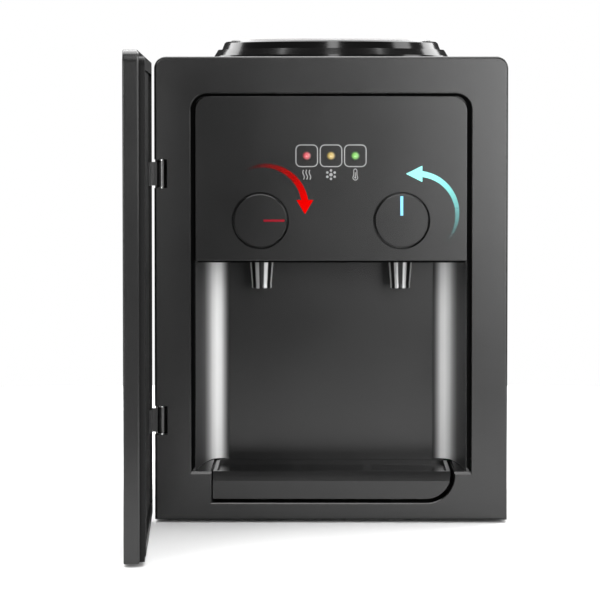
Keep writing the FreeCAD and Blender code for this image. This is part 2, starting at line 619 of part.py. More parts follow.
def lamps():
    for index, name in enumerate(("heating", "cooling", "ready")):
        lamp = new_body(f"lamp_{name}")
        revolved(lamp, f"lamp_{name}_turn", "0",
                 [("0", "-0.7"), ("lamp_radius - 1.6", "-0.5"), ("lamp_radius - 0.3", "0"),
                  ("lamp_radius", "0.7"),
                  ("lamp_radius", "4.5"), ("lamp_radius - 0.9", "4.5"),
                   ("lamp_radius - 0.9", "well_depth + 1"),
                  ("0", "well_depth + 1")], "XY_Plane")
        settle(lamp, f"lamp_{name}", f"lamp_pitch * ({index} - 1)", "0", "lamp_level")
    board = box("lamp_board", ("-36", "well_depth + 1", "lamp_level - 12"),
                ("36", "well_depth + 2.6", "lamp_level + 12"))
    board = rounded("lamp_board_corners", board, 2, *[along("y", x=side, z=size("lamp_level") + up)
                                                      for side in (-36, 36) for up in (-12, 12)])
    settle(board, "indicator_board")


# ---- drip tray ----

def tray_bay():
    block = box("bay_block", ("-bay_left - 2", "front_plate + 0.1", "bay_low - 2.5"),
                ("bay_right + 2", "alcove_depth", "sill - 2"))
    space = box("bay_space", ("-bay_left", "0", "bay_low - 0.5"), ("bay_right", "alcove_depth - 2", "sill"))
    rails = [box(f"bay_rail_{index}", (f"{place} - 5", "front_plate + 30", "bay_low - 1"),
                 (f"{place} + 5", "tray_back - 3", "tray_low - 0.1"))
             for index, place in enumerate((-60, 55))]
    settle(fuse("bay_with_rails", cut("bay_cut", block, space), *rails), "tray_bay")


def drip_tray():
    body = box("tray_block", ("-tray_left", "tray_front", "tray_low"),
               ("tray_right", "tray_back", "tray_high"))
    body = rounded("tray_round", body, size("tray_corner"),
                   along("y", x=size("tray_right"), z=size("tray_low")))
    shelf = box("tray_shelf", ("-tray_left + 3", "15", "grid_top - grid_plate"),
                ("tray_right - 3", "tray_back - 3", "tray_high + 1"))
    pan = box("tray_pan", ("-tray_left + 6", "18", "tray_low + 2.2"),
              ("tray_right - 6", "tray_back - 6", "tray_high"))
    pan = rounded("tray_pan_round", pan, size("tray_corner") - 5,
                  along("y", x=size("tray_right") - 6, z=size("tray_low") + 2.2))
    # the lip in front slopes back from the face's top edge up to the rim
    slope = doc.addObject("Part::Wedge", "tray_slope")
    slope.Xmin, slope.Xmax, slope.X2min, slope.X2max = -130, 130, -130, 130
    slope.Ymin, slope.Ymax = 0, 9
    slope.Zmin, slope.Zmax, slope.Z2min, slope.Z2max = -3, 11, -3, 0
    bind(slope, "Placement.Base.y", "tray_front")
    bind(slope, "Placement.Base.z", "tray_high + 1.5")
    slope.Placement.Rotation = FreeCAD.Rotation(FreeCAD.Vector(1, 0, 0), FreeCAD.Vector(0, 0, 1),
                                                FreeCAD.Vector(0, 1, 0), "XZY")
    settle(cut("tray_cut", body, shelf, pan, slope), "drip_tray")

    lid = box("grid_blank", ("-tray_left + 3.4", "15.4", "grid_top - grid_plate + 0.02"),
              ("tray_right - 3.4", "tray_back - 3.4", "grid_top"))
    slots = []
    for row in range(13):
        front = 21 + row * 6.2
        for column, left in enumerate((-88, -26, 36)):
            slots.append(box(f"grid_slot_{row}_{column}", (left, front, "grid_top - 5"),
                             (left + 54, f"{front} + slot_width", "grid_top + 1")))
    settle(cut("grid_cut", lid, *slots), "drip_grid")


# ---- tanks and cooling ----

def cold_tank():
    middle = ("0", "collar_back")
    shell = rod("cold_outer", "z", "tank_low", "tank_high", "tank_radius", middle)
    shell = rounded("cold_round", shell, 4, in_plane("z", size("tank_low")))
    space = rod("cold_space", "z", "tank_low + 2", "tank_high + 1", "tank_radius - 2", middle)
    feed = rod("cold_feed_hole", "z", "tank_low - 1", "tank_low + 3", "3", ("0", "180"))
    outlet = rod("cold_outlet_hole", "x", "tank_radius - 4", "tank_radius + 1", "3", ("collar_back", "252"))
    settle(cut("cold_cut", shell, space, feed, outlet), "cold_reservoir")
    disc = rod("cold_lid_disc", "z", "tank_high", "tank_high + 3.4", "tank_radius + 1", middle)
    hole = rod("cold_lid_hole", "z", "tank_high - 1", "tank_high + 5", "12", middle)
    settle(cut("cold_lid_cut", disc, hole), "reservoir_lid")


def cooling():
    rear = size("collar_back") + size("tank_radius")
    block = box("cold_block_blank", ("-25", f"{rear} - 12", "cool_level - 26"),
                ("25", f"{rear} + 14", "cool_level + 24"))
    bowl = rod("cold_block_bowl", "z", "tank_low", "tank_high", "tank_radius + 0.05", ("0", "collar_back"))
    settle(cut("cold_block_cut", block, bowl), "cold_block")
    module = box("module", ("-20", f"{rear} + 14", "cool_level - 20"),
                 ("20", f"{rear} + 18", "cool_level + 20"))
    module = rounded("module_edge", module, 0.4, *[along("y", x=side, z=size("cool_level") + up)
                                                   for side in (-20, 20) for up in (-20, 20)])
    settle(module, "cooling_module")
    fins = [box("sink_base", ("-fan_size / 2", f"{rear} + 18", "cool_level - fan_size / 2"),
                ("fan_size / 2", f"{rear} + 23", "cool_level + fan_size / 2"))]
    for index in range(14):
        place = f"-fan_size / 2 + {index} * (fan_size - 1.5) / 13"
        fins.append(box(f"sink_fin_{index}", (place, f"{rear} + 22", "cool_level - fan_size / 2"),
                        (f"{place} + 1.5", f"{rear} + 42", "cool_level + fan_size / 2")))
    settle(fuse("sink", *fins), "heatsink")


def fan():
    front = size("collar_back") + size("tank_radius") + 42.5
    middle = ("0", "cool_level")
    case = box("fan_case", ("-fan_size / 2", front, "cool_level - fan_size / 2"),
               ("fan_size / 2", front + 20, "cool_level + fan_size / 2"))
    case = rounded("fan_case_round", case, 5, *[along("y", x=side, z=size("cool_level") + up)
                                                for side in (-40, 40) for up in (-40, 40)])
    throat = rod("fan_throat", "y", front - 1, front + 21, "fan_radius + 0.5", middle)
    ring = cut("fan_ring", case, throat)
    spokes = [rod("fan_boss", "y", front + 17.5, front + 20, "13", middle),
              rod("fan_axle", "y", front + 6, front + 18, "1.5", middle),
              box("fan_spoke_flat", ("-fan_radius - 1", front + 17.5, "cool_level - 2"),
                  ("fan_radius + 1", front + 20, "cool_level + 2")),
              box("fan_spoke_tall", ("-2", front + 17.5, "cool_level - fan_radius - 1"),
                  ("2", front + 20, "cool_level + fan_radius + 1"))]
    settle(fuse("fan_frame_solid", ring, *spokes), "fan_frame")

    hub = rod("rotor_hub", "y", front + 2, front + 17, "13", ("0", "0"))
    blades = []
    for index in range(7):
        blade = doc.addObject("Part::Box", f"rotor_blade_{index}")
        bind(blade, "Length", "rotor_radius + 5")
        blade.Width, blade.Height = 14, 1.4
        spread = FreeCAD.Rotation(FreeCAD.Vector(0, 1, 0), index * 360 / 7)
        twist = FreeCAD.Rotation(FreeCAD.Vector(1, 0, 0), 34)
        blade.Placement = FreeCAD.Placement(spread.multVec(FreeCAD.Vector(0, front + 3.5, -3)),
                                            spread * twist)
        blades.append(blade)
    disc = rod("rotor_disc", "y", front + 2, front + 16.5, "rotor_radius", ("0", "0"))
    trimmed = doc.addObject("Part::MultiCommon", "rotor_blades")
    trimmed.Shapes = [fuse("rotor_blade_set", *blades), disc]
    bore = rod("rotor_bore", "y", front + 1, front + 18, "1.5 + running_gap", ("0", "0"))
    settle(cut("rotor_cut", fuse("rotor_solid", hub, trimmed), bore), "fan_rotor", "0", "0", "cool_level")


def hot_tank():
    middle = ("hot_x", "hot_y")
    shell = rod("hot_outer", "z", "hot_low", "hot_high", "hot_radius", middle)
    shell = rounded("hot_round", shell, 5, in_plane("z", size("hot_low")), in_plane("z", size("hot_high")))
    space = rod("hot_space", "z", "hot_low + 1.5", "hot_high - 1.5", "hot_radius - 1.5", middle)
    space = rounded("hot_space_round", space, 4, in_plane("z", size("hot_low") + 1.5),
                    in_plane("z", size("hot_high") - 1.5))
    outlet = rod("hot_outlet_hole", "z", "hot_high - 3", "hot_high + 1", "3", ("hot_x", "hot_y - 15"))
    drain = rod("hot_drain_hole", "z", "hot_low - 1", "hot_low + 3", "3", middle)
    settle(cut("hot_cut", shell, space, outlet, drain), "hot_tank")

    band_outer = rod("band_outer", "z", "hot_low + 36", "hot_low + 62", "hot_radius + 1.8", middle)
    band_inner = rod("band_inner", "z", "hot_low + 30", "hot_low + 70", "hot_radius + 0.02", middle)
    gap = box("band_gap", ("hot_x - 2", "hot_y - 60", "hot_low + 30"), ("hot_x + 2", "hot_y", "hot_low + 70"))
    settle(cut("band_cut", band_outer, band_inner, gap), "band_heater")

    foam = rod("foam_outer", "z", "hot_low - 3", "hot_high - 6", "jacket", middle)
    foam_space = rod("foam_space", "z", "hot_low - 4", "hot_high", "hot_radius + 2", middle)
    port = box("foam_port", ("hot_x + 20", "hot_y - 8", "hot_low + 12"),
               ("hot_x + 60", "hot_y + 8", "hot_low + 28"))
    settle(cut("foam_cut", foam, foam_space, port), "hot_tank_jacket")

    discs = [rod(f"thermostat_{index}", "z", "hot_high", "hot_high + 8", "8",
                 (f"hot_x + {place}", "hot_y + 8"))
             for index, place in enumerate((-14, 14))]
    settle(fuse("thermostat_set", *discs), "thermostats")


def pipe(name, points):
    """A water hose: straight runs joined by tangent arcs, each as large as its two runs allow."""
    points = [FreeCAD.Vector(*point) for point in points]
    edges, start = [], points[0]
    for before, corner, after in zip(points, points[1:], points[2:]):
        inward, outward = (before - corner), (after - corner)
        shorter = min(inward.Length, outward.Length)
        inward, outward = inward.normalize(), outward.normalize()
        bend = math.pi - inward.getAngle(outward)
        reach = 0.45 * shorter
        radius = reach / math.tan(bend / 2)
        enter, leave = corner + inward * reach, corner + outward * reach
        bisector = (inward + outward).normalize()
        middle = corner + bisector * (radius / math.cos(bend / 2) - radius)
        edges += [Part.LineSegment(start, enter).toShape(), Part.Arc(enter, middle, leave).toShape()]
        start = leave
    edges.append(Part.LineSegment(start, points[-1]).toShape())
    path = Part.Wire(edges)
    rings = [Part.Wire(Part.makeCircle(radius, points[0], points[1] - points[0]))
             for radius in (size("hose"), 3)]
    outer, inner = [path.makePipeShell([ring], True, False) for ring in rings]
    obj = doc.addObject("Part::Feature", name)
    obj.Shape = outer.cut(inner)
    return obj


def water_hoses():
    hot_x, hot_y, spread = size("hot_x"), size("hot_y"), size("knob_spread")
    tap_rear = size("tap_depth") + 21
    hot_feed = pipe("hose_hot", [(hot_x, hot_y - 15, size("hot_high")), (hot_x, hot_y - 15, 252),
                                 (-84, 116, 252), (-spread, 106, 252), (-spread, tap_rear, 252)])
    tank_side, tank_back = size("tank_radius"), size("collar_back")
    cold_feed = pipe("hose_cold", [(spread, tap_rear, 252), (spread, tap_rear + 14, 252),
                                   (tank_side + 17, tank_back - 23, 252), (tank_side + 17, tank_back, 252),
                                   (tank_side, tank_back, 252)])
    tank_feed = pipe("hose_feed", [(0, 180, size("tank_low")), (0, 180, 150), (-12, 195, 115),
                                   (hot_x + 38.1, 195, 115)])
    drain = pipe("hose_drain", [(hot_x, hot_y, size("hot_low")), (hot_x, hot_y, drain_level),
                                (hot_x, size("case_depth") - 14, drain_level)])
    settle(fuse("hose_set", hot_feed, cold_feed, tank_feed, drain), "water_hoses")


# ---- electrics and drain at the rear ----

switches = {"hot": "92", "cold": "120"}
switch_level = "345"
inlet_x, inlet_z = "112", "45"
drain_level = 42
drain_z = str(drain_level)
screw_places = [(across, level) for across in ("-140", "140") for level in ("16", "190", "366")]


def power_board():
    pieces = [box("board", ("35", "150", "8"), ("135", "235", "9.6")),
              box("transformer", ("42", "158", "9.5"), ("80", "192", "38")),
              box("relay", ("90", "160", "9.5"), ("108", "180", "25")),
              box("board_sink", ("42", "205", "9.5"), ("78", "209", "34")),
              box("terminals", ("90", "222", "9.5"), ("130", "232", "20"))]
    pieces += [rod(f"capacitor_{index}", "z", "9.5", "32", "6",
                   (f"{94 + index * 16}", "202")) for index in range(3)]
    pieces += [rod(f"standoff_{index}", "z", "2.4", "8.1", "3", place)
               for index, place in enumerate((("40", "155"), ("130", "155"), ("40", "230"), ("130", "230")))]
    settle(fuse("board_solid", *pieces), "power_board")


def rear_switches():
    housings = []
    for name, across in switches.items():
        flange = box(f"switch_flange_{name}", (f"{across} - 11.5", "case_depth", f"{switch_level} - 13.5"),
                     (f"{across} + 11.5", "case_depth + 2", f"{switch_level} + 13.5"))
        flange = rounded(f"switch_flange_round_{name}", flange, 0.8,
                         in_plane("y", size("case_depth") + 2, 200))
        shell = box(f"switch_shell_{name}", (f"{across} - 9.4", "case_depth - 15", f"{switch_level} - 11.4"),
                    (f"{across} + 9.4", "case_depth + 1", f"{switch_level} + 11.4"))
        space = box(f"switch_space_{name}", (f"{across} - 7", "case_depth - 9", f"{switch_level} - 9.4"),
                    (f"{across} + 7", "case_depth + 3", f"{switch_level} + 9.4"))
        holes = rod(f"switch_pivot_hole_{name}", "x", f"{across} - 8.5", f"{across} + 8.5", "1.25",
                    ("case_depth - 2", switch_level))
        housings.append(cut(f"switch_housing_{name}", fuse(f"switch_outer_{name}", flange, shell), space,
                            holes))
        # the rocker is drawn level about its pivot and then rests tipped to its off side
        body = box(f"rocker_block_{name}", ("-6.7", "-3.5", "-8.3"), ("6.7", "4.6", "8.3"))
        body = rounded(f"rocker_round_{name}", body, 1.2, along("x", y=4.6, z=8.3), along("x", y=4.6, z=-8.3))
        dish = rod(f"rocker_dish_{name}", "x", "-8", "8", "30", ("33.2", "0"))
        pivot = rod(f"rocker_pivot_{name}", "x", "-8.3", "8.3", "1.2", ("0", "0"))
        rocker = fuse(f"rocker_{name}", cut(f"rocker_cut_{name}", body, dish), pivot)
        settle(rocker, f"rear_switch_{name}", across, "case_depth - 2", switch_level,
               FreeCAD.Rotation(FreeCAD.Vector(1, 0, 0), 7))
    settle(fuse("housing_set", *housings), "switch_housings")


def mains_inlet():
    rear = "case_depth"
    flange = box("inlet_flange", (f"{inlet_x} - 18", rear, f"{inlet_z} - 13"),
                 (f"{inlet_x} + 18", f"{rear} + 2.5", f"{inlet_z} + 13"))
    shell = box("inlet_shell", (f"{inlet_x} - 13.8", f"{rear} - 20", f"{inlet_z} - 10.3"),
                (f"{inlet_x} + 13.8", f"{rear} + 1", f"{inlet_z} + 10.3"))
    space = box("inlet_space", (f"{inlet_x} - 12", f"{rear} - 17", f"{inlet_z} - 8.3"),
                (f"{inlet_x} + 12", f"{rear} + 3", f"{inlet_z} + 8.3"))
    space = rounded("inlet_space_cut", space, 4, *[along("y", x=float(inlet_x) + side, z=float(inlet_z) + 8.3)
                                                   for side in (-12, 12)], kind="Part::Chamfer")
    blades = [box(f"inlet_blade_{index}",
                  (f"{inlet_x} + {across} - 1", f"{rear} - 18", f"{inlet_z} + {up} - 2"),
                  (f"{inlet_x} + {across} + 1", f"{rear} - 4", f"{inlet_z} + {up} + 2"))
              for index, (across, up) in enumerate(((-7, -2.5), (0, 2), (7, -2.5)))]
    socket = cut("inlet_cut", fuse("inlet_outer", flange, shell), space)
    settle(fuse("inlet_solid", socket, *blades), "mains_inlet")


def drain():
    place = ("hot_x", drain_z)
    tube = rod("spigot_tube", "y", "case_depth - 14", "case_depth + 13", "7", place)
    flange = rod("spigot_flange", "y", "case_depth", "case_depth + 2.5", "11", place)
    bore = rod("spigot_bore", "y", "case_depth - 15", "case_depth + 14", "4", place)
    settle(cut("spigot_cut", fuse("spigot_solid", tube, flange), bore), "drain_spigot")
    cup = rod("cap_blank", "y", "case_depth + 3", "case_depth + 16.5", "9.2", place)
    cup = rounded("cap_round", cup, 1.5, in_plane("y", size("case_depth") + 16.5))
    space = rod("cap_space", "y", "case_depth + 2", "case_depth + 13.5", "7 + running_gap", place)
    ribs = [box(f"cap_rib_{index}", ("9", "case_depth + 4", "-0.8"),
                ("9.8", "case_depth + 14", "0.8")) for index in range(12)]
    for index, rib in enumerate(ribs):
        turn = FreeCAD.Rotation(FreeCAD.Vector(0, 1, 0), index * 30)
        rib.setExpression("Placement.Base.x", None)
        rib.setExpression("Placement.Base.z", None)
        corner = turn.multVec(FreeCAD.Vector(9, 0, -0.8))
        rib.Placement = FreeCAD.Placement(corner + FreeCAD.Vector(size("hot_x"), size("case_depth") + 4,
                                                                  drain_level), turn)
    settle(cut("cap_cut", fuse("cap_solid", cup, *ribs), space), "drain_cap")


front_frame()
control_panel()
alcove_liner()
corner_trims()
side_panels()
top_cover()
rear_panel()
case_screws()
base_and_feet()
collar()
bottle_seat()
door()
door_hinges()
knob("hot", "-", ("2.7", "-1"), ("20.7", "1"))
knob("cold", "", ("-1.25", "4.3"), ("1.25", "20.8"))
spindle("hot", "-", "z")
spindle("cold", "", "x")
tap("hot", "-")
tap("cold", "")
lamps()
tray_bay()
drip_tray()
cold_tank()
cooling()
fan()
hot_tank()
water_hoses()
power_board()
rear_switches()
mains_inlet()
drain()

# ---- check and write ----

doc.recompute()
faults = [f"{obj.Label}: {obj.State}" for obj in doc.Objects if {"Invalid", "Error"} & set(obj.State)]
for obj in subparts:
    if obj.Shape.isNull() or not obj.Shape.isValid() or not obj.Shape.Solids:
        faults.append(f"{obj.Label}: shape is null, invalid or holds no solid")
labels = [obj.Label for obj in subparts]
faults += [f"{label}: label used twice" for label in set(labels) if labels.count(label) > 1]
if faults:
    raise RuntimeError("; ".join(faults))

os.makedirs("parts", exist_ok=True)
for obj in subparts:
    obj.Shape.exportStep(f"parts/{obj.Label}.step")
print(len(subparts), "sub-parts")
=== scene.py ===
import math

import bmesh
import bpy
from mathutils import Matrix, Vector


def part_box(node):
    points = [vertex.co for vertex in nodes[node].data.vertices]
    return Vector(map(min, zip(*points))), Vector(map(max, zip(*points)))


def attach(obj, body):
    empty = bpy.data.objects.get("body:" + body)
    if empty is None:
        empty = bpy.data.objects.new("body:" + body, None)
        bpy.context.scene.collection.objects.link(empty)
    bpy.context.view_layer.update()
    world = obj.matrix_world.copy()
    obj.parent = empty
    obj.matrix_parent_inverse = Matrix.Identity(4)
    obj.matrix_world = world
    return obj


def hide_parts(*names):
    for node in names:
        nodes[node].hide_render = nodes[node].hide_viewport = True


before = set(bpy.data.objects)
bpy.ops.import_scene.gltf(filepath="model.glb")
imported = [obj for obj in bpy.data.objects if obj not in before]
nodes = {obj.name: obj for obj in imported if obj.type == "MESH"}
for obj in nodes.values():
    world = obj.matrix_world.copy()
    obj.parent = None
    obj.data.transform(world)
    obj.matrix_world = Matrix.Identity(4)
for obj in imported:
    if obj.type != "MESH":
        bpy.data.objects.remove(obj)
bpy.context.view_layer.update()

print("frame loaded")
mm = 0.001

# the case's own datum: middle of the front frame's lower edge, at its front face
frameLow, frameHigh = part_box("front_frame")
datum = Vector(((frameLow.x + frameHigh.x) / 2, frameLow.y, frameLow.z))


def place(x, y, z):
    return datum + Vector((x, y, z)) * mm


def middleOf(node):
    low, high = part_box(node)
    return (low + high) / 2


# one output of a shader node, with arithmetic that adds its Math nodes
class Wire:
    def __init__(self, tree, socket=None):
        self.tree = tree
        self.socket = socket

    def make(self, kind, settings=None, inputs=None, output=0):
        node = self.tree.nodes.new(kind)
        for key, value in (settings or {}).items():
            if key == "stops":
                setStops(node.color_ramp, value)
            else:
                setattr(node, key, value)
        for key, value in (inputs or {}).items():
            if isinstance(value, Wire):
                self.tree.links.new(value.socket, node.inputs[key])
            else:
                node.inputs[key].default_value = value
        return Wire(self.tree, node.outputs[output])

    def join(self, operation, first, second):
        return self.make("ShaderNodeMath", {"operation": operation}, {0: first, 1: second})

    def __add__(self, other):
        return self.join("ADD", self, other)

    def __radd__(self, other):
        return self.join("ADD", other, self)

    def __sub__(self, other):
        return self.join("SUBTRACT", self, other)

    def __rsub__(self, other):
        return self.join("SUBTRACT", other, self)

    def __mul__(self, other):
        return self.join("MULTIPLY", self, other)

    def __rmul__(self, other):
        return self.join("MULTIPLY", other, self)

    # the three parts of a vector, as wires
    def parts(self):
        node = self.make("ShaderNodeSeparateXYZ", {}, {0: self}).socket.node
        return [Wire(self.tree, output) for output in node.outputs]


def setStops(ramp, stops):
    while len(ramp.elements) < len(stops):
        ramp.elements.new(1.0)
    for element, (position, colour) in zip(ramp.elements, stops):
        element.position = position
        element.color = colour


def grey(value):
    return (value, value, value, 1.0)


def objectPoints(wire, scale=(1, 1, 1), centre=(0, 0, 0)):
    coords = wire.make("ShaderNodeTexCoord", output="Object")
    shift = [-c * s for c, s in zip(centre, scale)]
    return wire.make("ShaderNodeMapping", {}, {"Vector": coords, "Location": shift, "Scale": scale})


def noise(wire, points, scale, detail=2.0, roughness=0.5):
    return wire.make("ShaderNodeTexNoise", {}, {"Vector": points, "Scale": scale, "Detail": detail,
                                                "Roughness": roughness}, "Fac")


def mixColour(wire, factor, first, second):
    # the colour sockets of a Mix node are its inputs 6 and 7 and its output 2
    return wire.make("ShaderNodeMix", {"data_type": "RGBA"}, {0: factor, 6: first, 7: second}, 2)


def bumpFrom(wire, height, strength, distance):
    return wire.make("ShaderNodeBump", {}, {"Height": height, "Strength": strength, "Distance": distance})


def newMaterial(name, constants):
    material = bpy.data.materials.new(name)
    material.use_nodes = True
    tree = material.node_tree
    shader = tree.nodes["Principled BSDF"]
    for key, value in constants.items():
        shader.inputs[key].default_value = value
    return material, Wire(tree), shader


def feed(shader, key, wire):
    wire.tree.links.new(wire.socket, shader.inputs[key])


# what every moulded plastic shares: the cloud's scale, and how much cloud and grain vary the gloss
moulding = {"cloudScale": 14, "cloudGloss": 0.06, "grainGloss": 0.05, "grainDepth": 0.00004, "specular": 0.5}


# a moulded plastic: faint cloudy colour, fine grain in the bump, uneven gloss
def plastic(name, look):
    look = {**moulding, **look}
    material, wire, shader = newMaterial(name, {"Specular IOR Level": look["specular"]})
    points = objectPoints(wire)
    cloud = noise(wire, points, look["cloudScale"], 3)
    grain = noise(wire, points, look["grainScale"], 2)
    feed(shader, "Base Color", mixColour(wire, cloud, look["dark"], look["light"]))
    feed(shader, "Roughness", look["rough"] + (cloud - 0.5) * look["cloudGloss"]
         + (grain - 0.5) * look["grainGloss"])
    feed(shader, "Normal", bumpFrom(wire, grain, look["grain"], look["grainDepth"]))
    return material


# what every metal shares: the scale and spread of its smears, and the height of its lines
polishing = {"smearScale": 22, "smearGloss": 0.06, "lineHeight": 0.00003}


# a metal with a lay along one axis: the noise is stretched that way
def brushed(name, look):
    material, wire, shader = newMaterial(name, {"Metallic": 1.0})
    lines = noise(wire, objectPoints(wire, look["stretch"]), look["lineScale"], 3, 0.6)
    smear = noise(wire, objectPoints(wire), polishing["smearScale"], 2)
    feed(shader, "Base Color", mixColour(wire, lines, look["dark"], look["light"]))
    feed(shader, "Roughness", look["rough"] + (lines - 0.5) * look["spread"]
         + (smear - 0.5) * polishing["smearGloss"])
    feed(shader, "Normal", bumpFrom(wire, lines, look["depth"], polishing["lineHeight"]))
    return material


# the lens's facets, and where its glow ends and its dark rim starts, as shares of its radius
lens = {"facetScale": 620.0, "facetShift": 0.0026, "facetDepth": 0.0006, "heart": 0.62, "rimFrom": 0.42,
        "rimTo": 0.98, "body": 0.004, "shade": 0.6}


# a small faceted lens lit from behind: bright in its middle, dark towards its rim
def lensMaterial(name, look):
    material, wire, shader = newMaterial(name, {"Roughness": 0.12, "Emission Strength": look["strength"],
                                                "Coat Weight": 0.4})
    flat = objectPoints(wire, (1, 0, 1), look["centre"])
    reach = wire.make("ShaderNodeVectorMath", {"operation": "LENGTH"}, {0: flat}, "Value")
    facets = wire.make("ShaderNodeTexVoronoi", {"feature": "F1"},
                       {"Vector": flat, "Scale": lens["facetScale"]}, "Distance")
    rim = wire.make("ShaderNodeMapRange", {"interpolation_type": "SMOOTHSTEP"},
                    {"Value": reach, "From Min": look["radius"] * lens["rimFrom"],
                     "From Max": look["radius"] * lens["rimTo"],
                     "To Min": 0.0, "To Max": 1.0})
    heart = wire.make("ShaderNodeMapRange", {"interpolation_type": "SMOOTHSTEP"},
                      {"Value": reach + facets * lens["facetShift"], "From Min": 0.0,
                       "From Max": look["radius"] * lens["heart"],
                       "To Min": 1.0, "To Max": 0.0})
    body = mixColour(wire, heart, look["bright"], look["hot"])
    glow = mixColour(wire, rim, body, look["deep"])
    feed(shader, "Base Color", mixColour(wire, lens["shade"], glow, grey(lens["body"])))
    feed(shader, "Emission Color", glow)
    feed(shader, "Normal", bumpFrom(wire, facets, 0.8, lens["facetDepth"]))
    return material


# an ink printed as an arc that fades out at its tail; the angle is taken about the knob's axis
def fadingInk(name, look):
    material, wire, shader = newMaterial(name, {"Roughness": 0.5, "Specular IOR Level": 0.0})
    points = objectPoints(wire, (1, 1, 1), look["centre"])
    across, deep, up = points.parts()
    angle = wire.join("ARCTAN2", across, up)
    along = wire.make("ShaderNodeMapRange", {}, {"Value": angle, "From Min": look["tail"],
                                                 "From Max": look["full"], "To Min": 0.0, "To Max": 1.0})
    speck = noise(wire, points, 900, 2)
    feed(shader, "Base Color", mixColour(wire, along, look["faint"], look["strong"]))
    feed(shader, "Alpha", along * (0.96 + speck * 0.04))
    feed(shader, "Roughness", 0.5 + speck * 0.12)
    # the ink also glows faintly: a painted glow, an emission that lifts its colour though it is no lamp
    shader.inputs["Emission Strength"].default_value = look["glow"]
    feed(shader, "Emission Color", mixColour(wire, along, look["faint"], look["strong"]))
    return material


looks = {
    "shell": {"dark": grey(0.0034), "light": grey(0.0046), "rough": 0.235, "grainScale": 2600, "grain": 0.25},
    "panel": {"dark": grey(0.0030), "light": grey(0.0040), "rough": 0.225, "grainScale": 3400, "grain": 0.07},
    "doorDark": {"dark": grey(0.0024), "light": grey(0.0032),
                 "rough": 0.42, "grainScale": 2600, "grain": 0.05, "specular": 0.12},
    # a matte near-black with almost no gloss, for the strips that paint shade into the groove and under the
    # panel
    "paintedShadeBlack": {"dark": grey(0.0012), "light": grey(0.0022), "rough": 0.9, "grainScale": 700, "grain": 0.4,
                 "specular": 0.02},
    "glossBlack": {"dark": grey(0.0035), "light": grey(0.0045),
                   "rough": 0.14, "grainScale": 1800, "grain": 0.04},
    "powderCoat": {"dark": grey(0.011), "light": grey(0.014),
                   "rough": 0.42, "grainScale": 1300, "grain": 0.4},
    "innerBlack": {"dark": grey(0.006), "light": grey(0.009),
                   "rough": 0.55, "grainScale": 1500, "grain": 0.3},
    "white": {"dark": grey(0.42), "light": grey(0.47), "rough": 0.24, "grainScale": 2400, "grain": 0.08},
    "natural": {"dark": (0.66, 0.67, 0.64, 1), "light": (0.74, 0.74, 0.71, 1), "rough": 0.38,
                "grainScale": 1800, "grain": 0.12},
    "redMark": {"dark": (0.24, 0.006, 0.014, 1), "light": (0.30, 0.008, 0.02, 1), "rough": 0.4,
                "grainScale": 2600, "grain": 0.1, "specular": 0.05},
    "blueMark": {"dark": (0.22, 0.62, 0.90, 1), "light": (0.27, 0.68, 0.96, 1), "rough": 0.4,
                 "grainScale": 2600, "grain": 0.1, "specular": 0.05},
    "ink": {"dark": grey(0.25), "light": grey(0.29), "rough": 0.4, "grainScale": 3000, "grain": 0.1},
    "rubber": {"dark": grey(0.010), "light": grey(0.016), "rough": 0.7, "grainScale": 900, "grain": 0.5},
    "silicone": {"dark": (0.58, 0.58, 0.55, 1), "light": (0.68, 0.68, 0.65, 1), "rough": 0.42,
                 "grainScale": 700, "grain": 0.15},
    "foam": {"dark": grey(0.018), "light": grey(0.035), "rough": 0.85, "grainScale": 420, "grain": 0.9,
             "grainDepth": 0.0004},
    "board": {"dark": (0.010, 0.075, 0.028, 1), "light": (0.016, 0.10, 0.038, 1), "rough": 0.35,
              "grainScale": 600, "grain": 0.4},
    "ceramic": {"dark": grey(0.74), "light": grey(0.80), "rough": 0.3, "grainScale": 1200, "grain": 0.1},
    "ferrite": {"dark": grey(0.04), "light": grey(0.06), "rough": 0.6, "grainScale": 1500, "grain": 0.5},
    "rockerRed": {"dark": (0.30, 0.012, 0.012, 1), "light": (0.38, 0.018, 0.018, 1), "rough": 0.22,
                  "grainScale": 2400, "grain": 0.06},
    "rockerBlue": {"dark": (0.012, 0.05, 0.26, 1), "light": (0.018, 0.065, 0.33, 1), "rough": 0.22,
                   "grainScale": 2400, "grain": 0.06},
}
finishes = {name: plastic(name, look) for name, look in looks.items()}

metalLooks = {
    "silverTrim": {"dark": grey(0.62), "light": grey(0.74), "rough": 0.34, "spread": 0.12, "depth": 0.2,
                   "stretch": (900, 900, 12), "lineScale": 1.0},
    "steel": {"dark": grey(0.48), "light": grey(0.60), "rough": 0.30, "spread": 0.12, "depth": 0.15,
              "stretch": (60, 60, 1500), "lineScale": 1.0},
    "aluminium": {"dark": grey(0.60), "light": grey(0.68), "rough": 0.36, "spread": 0.10, "depth": 0.15,
                  "stretch": (40, 900, 900), "lineScale": 1.0},
    "brass": {"dark": (0.52, 0.36, 0.13, 1), "light": (0.66, 0.48, 0.20, 1), "rough": 0.34, "spread": 0.12,
              "depth": 0.2, "stretch": (300, 300, 300), "lineScale": 1.0},
}
finishes.update({name: brushed(name, look) for name, look in metalLooks.items()})

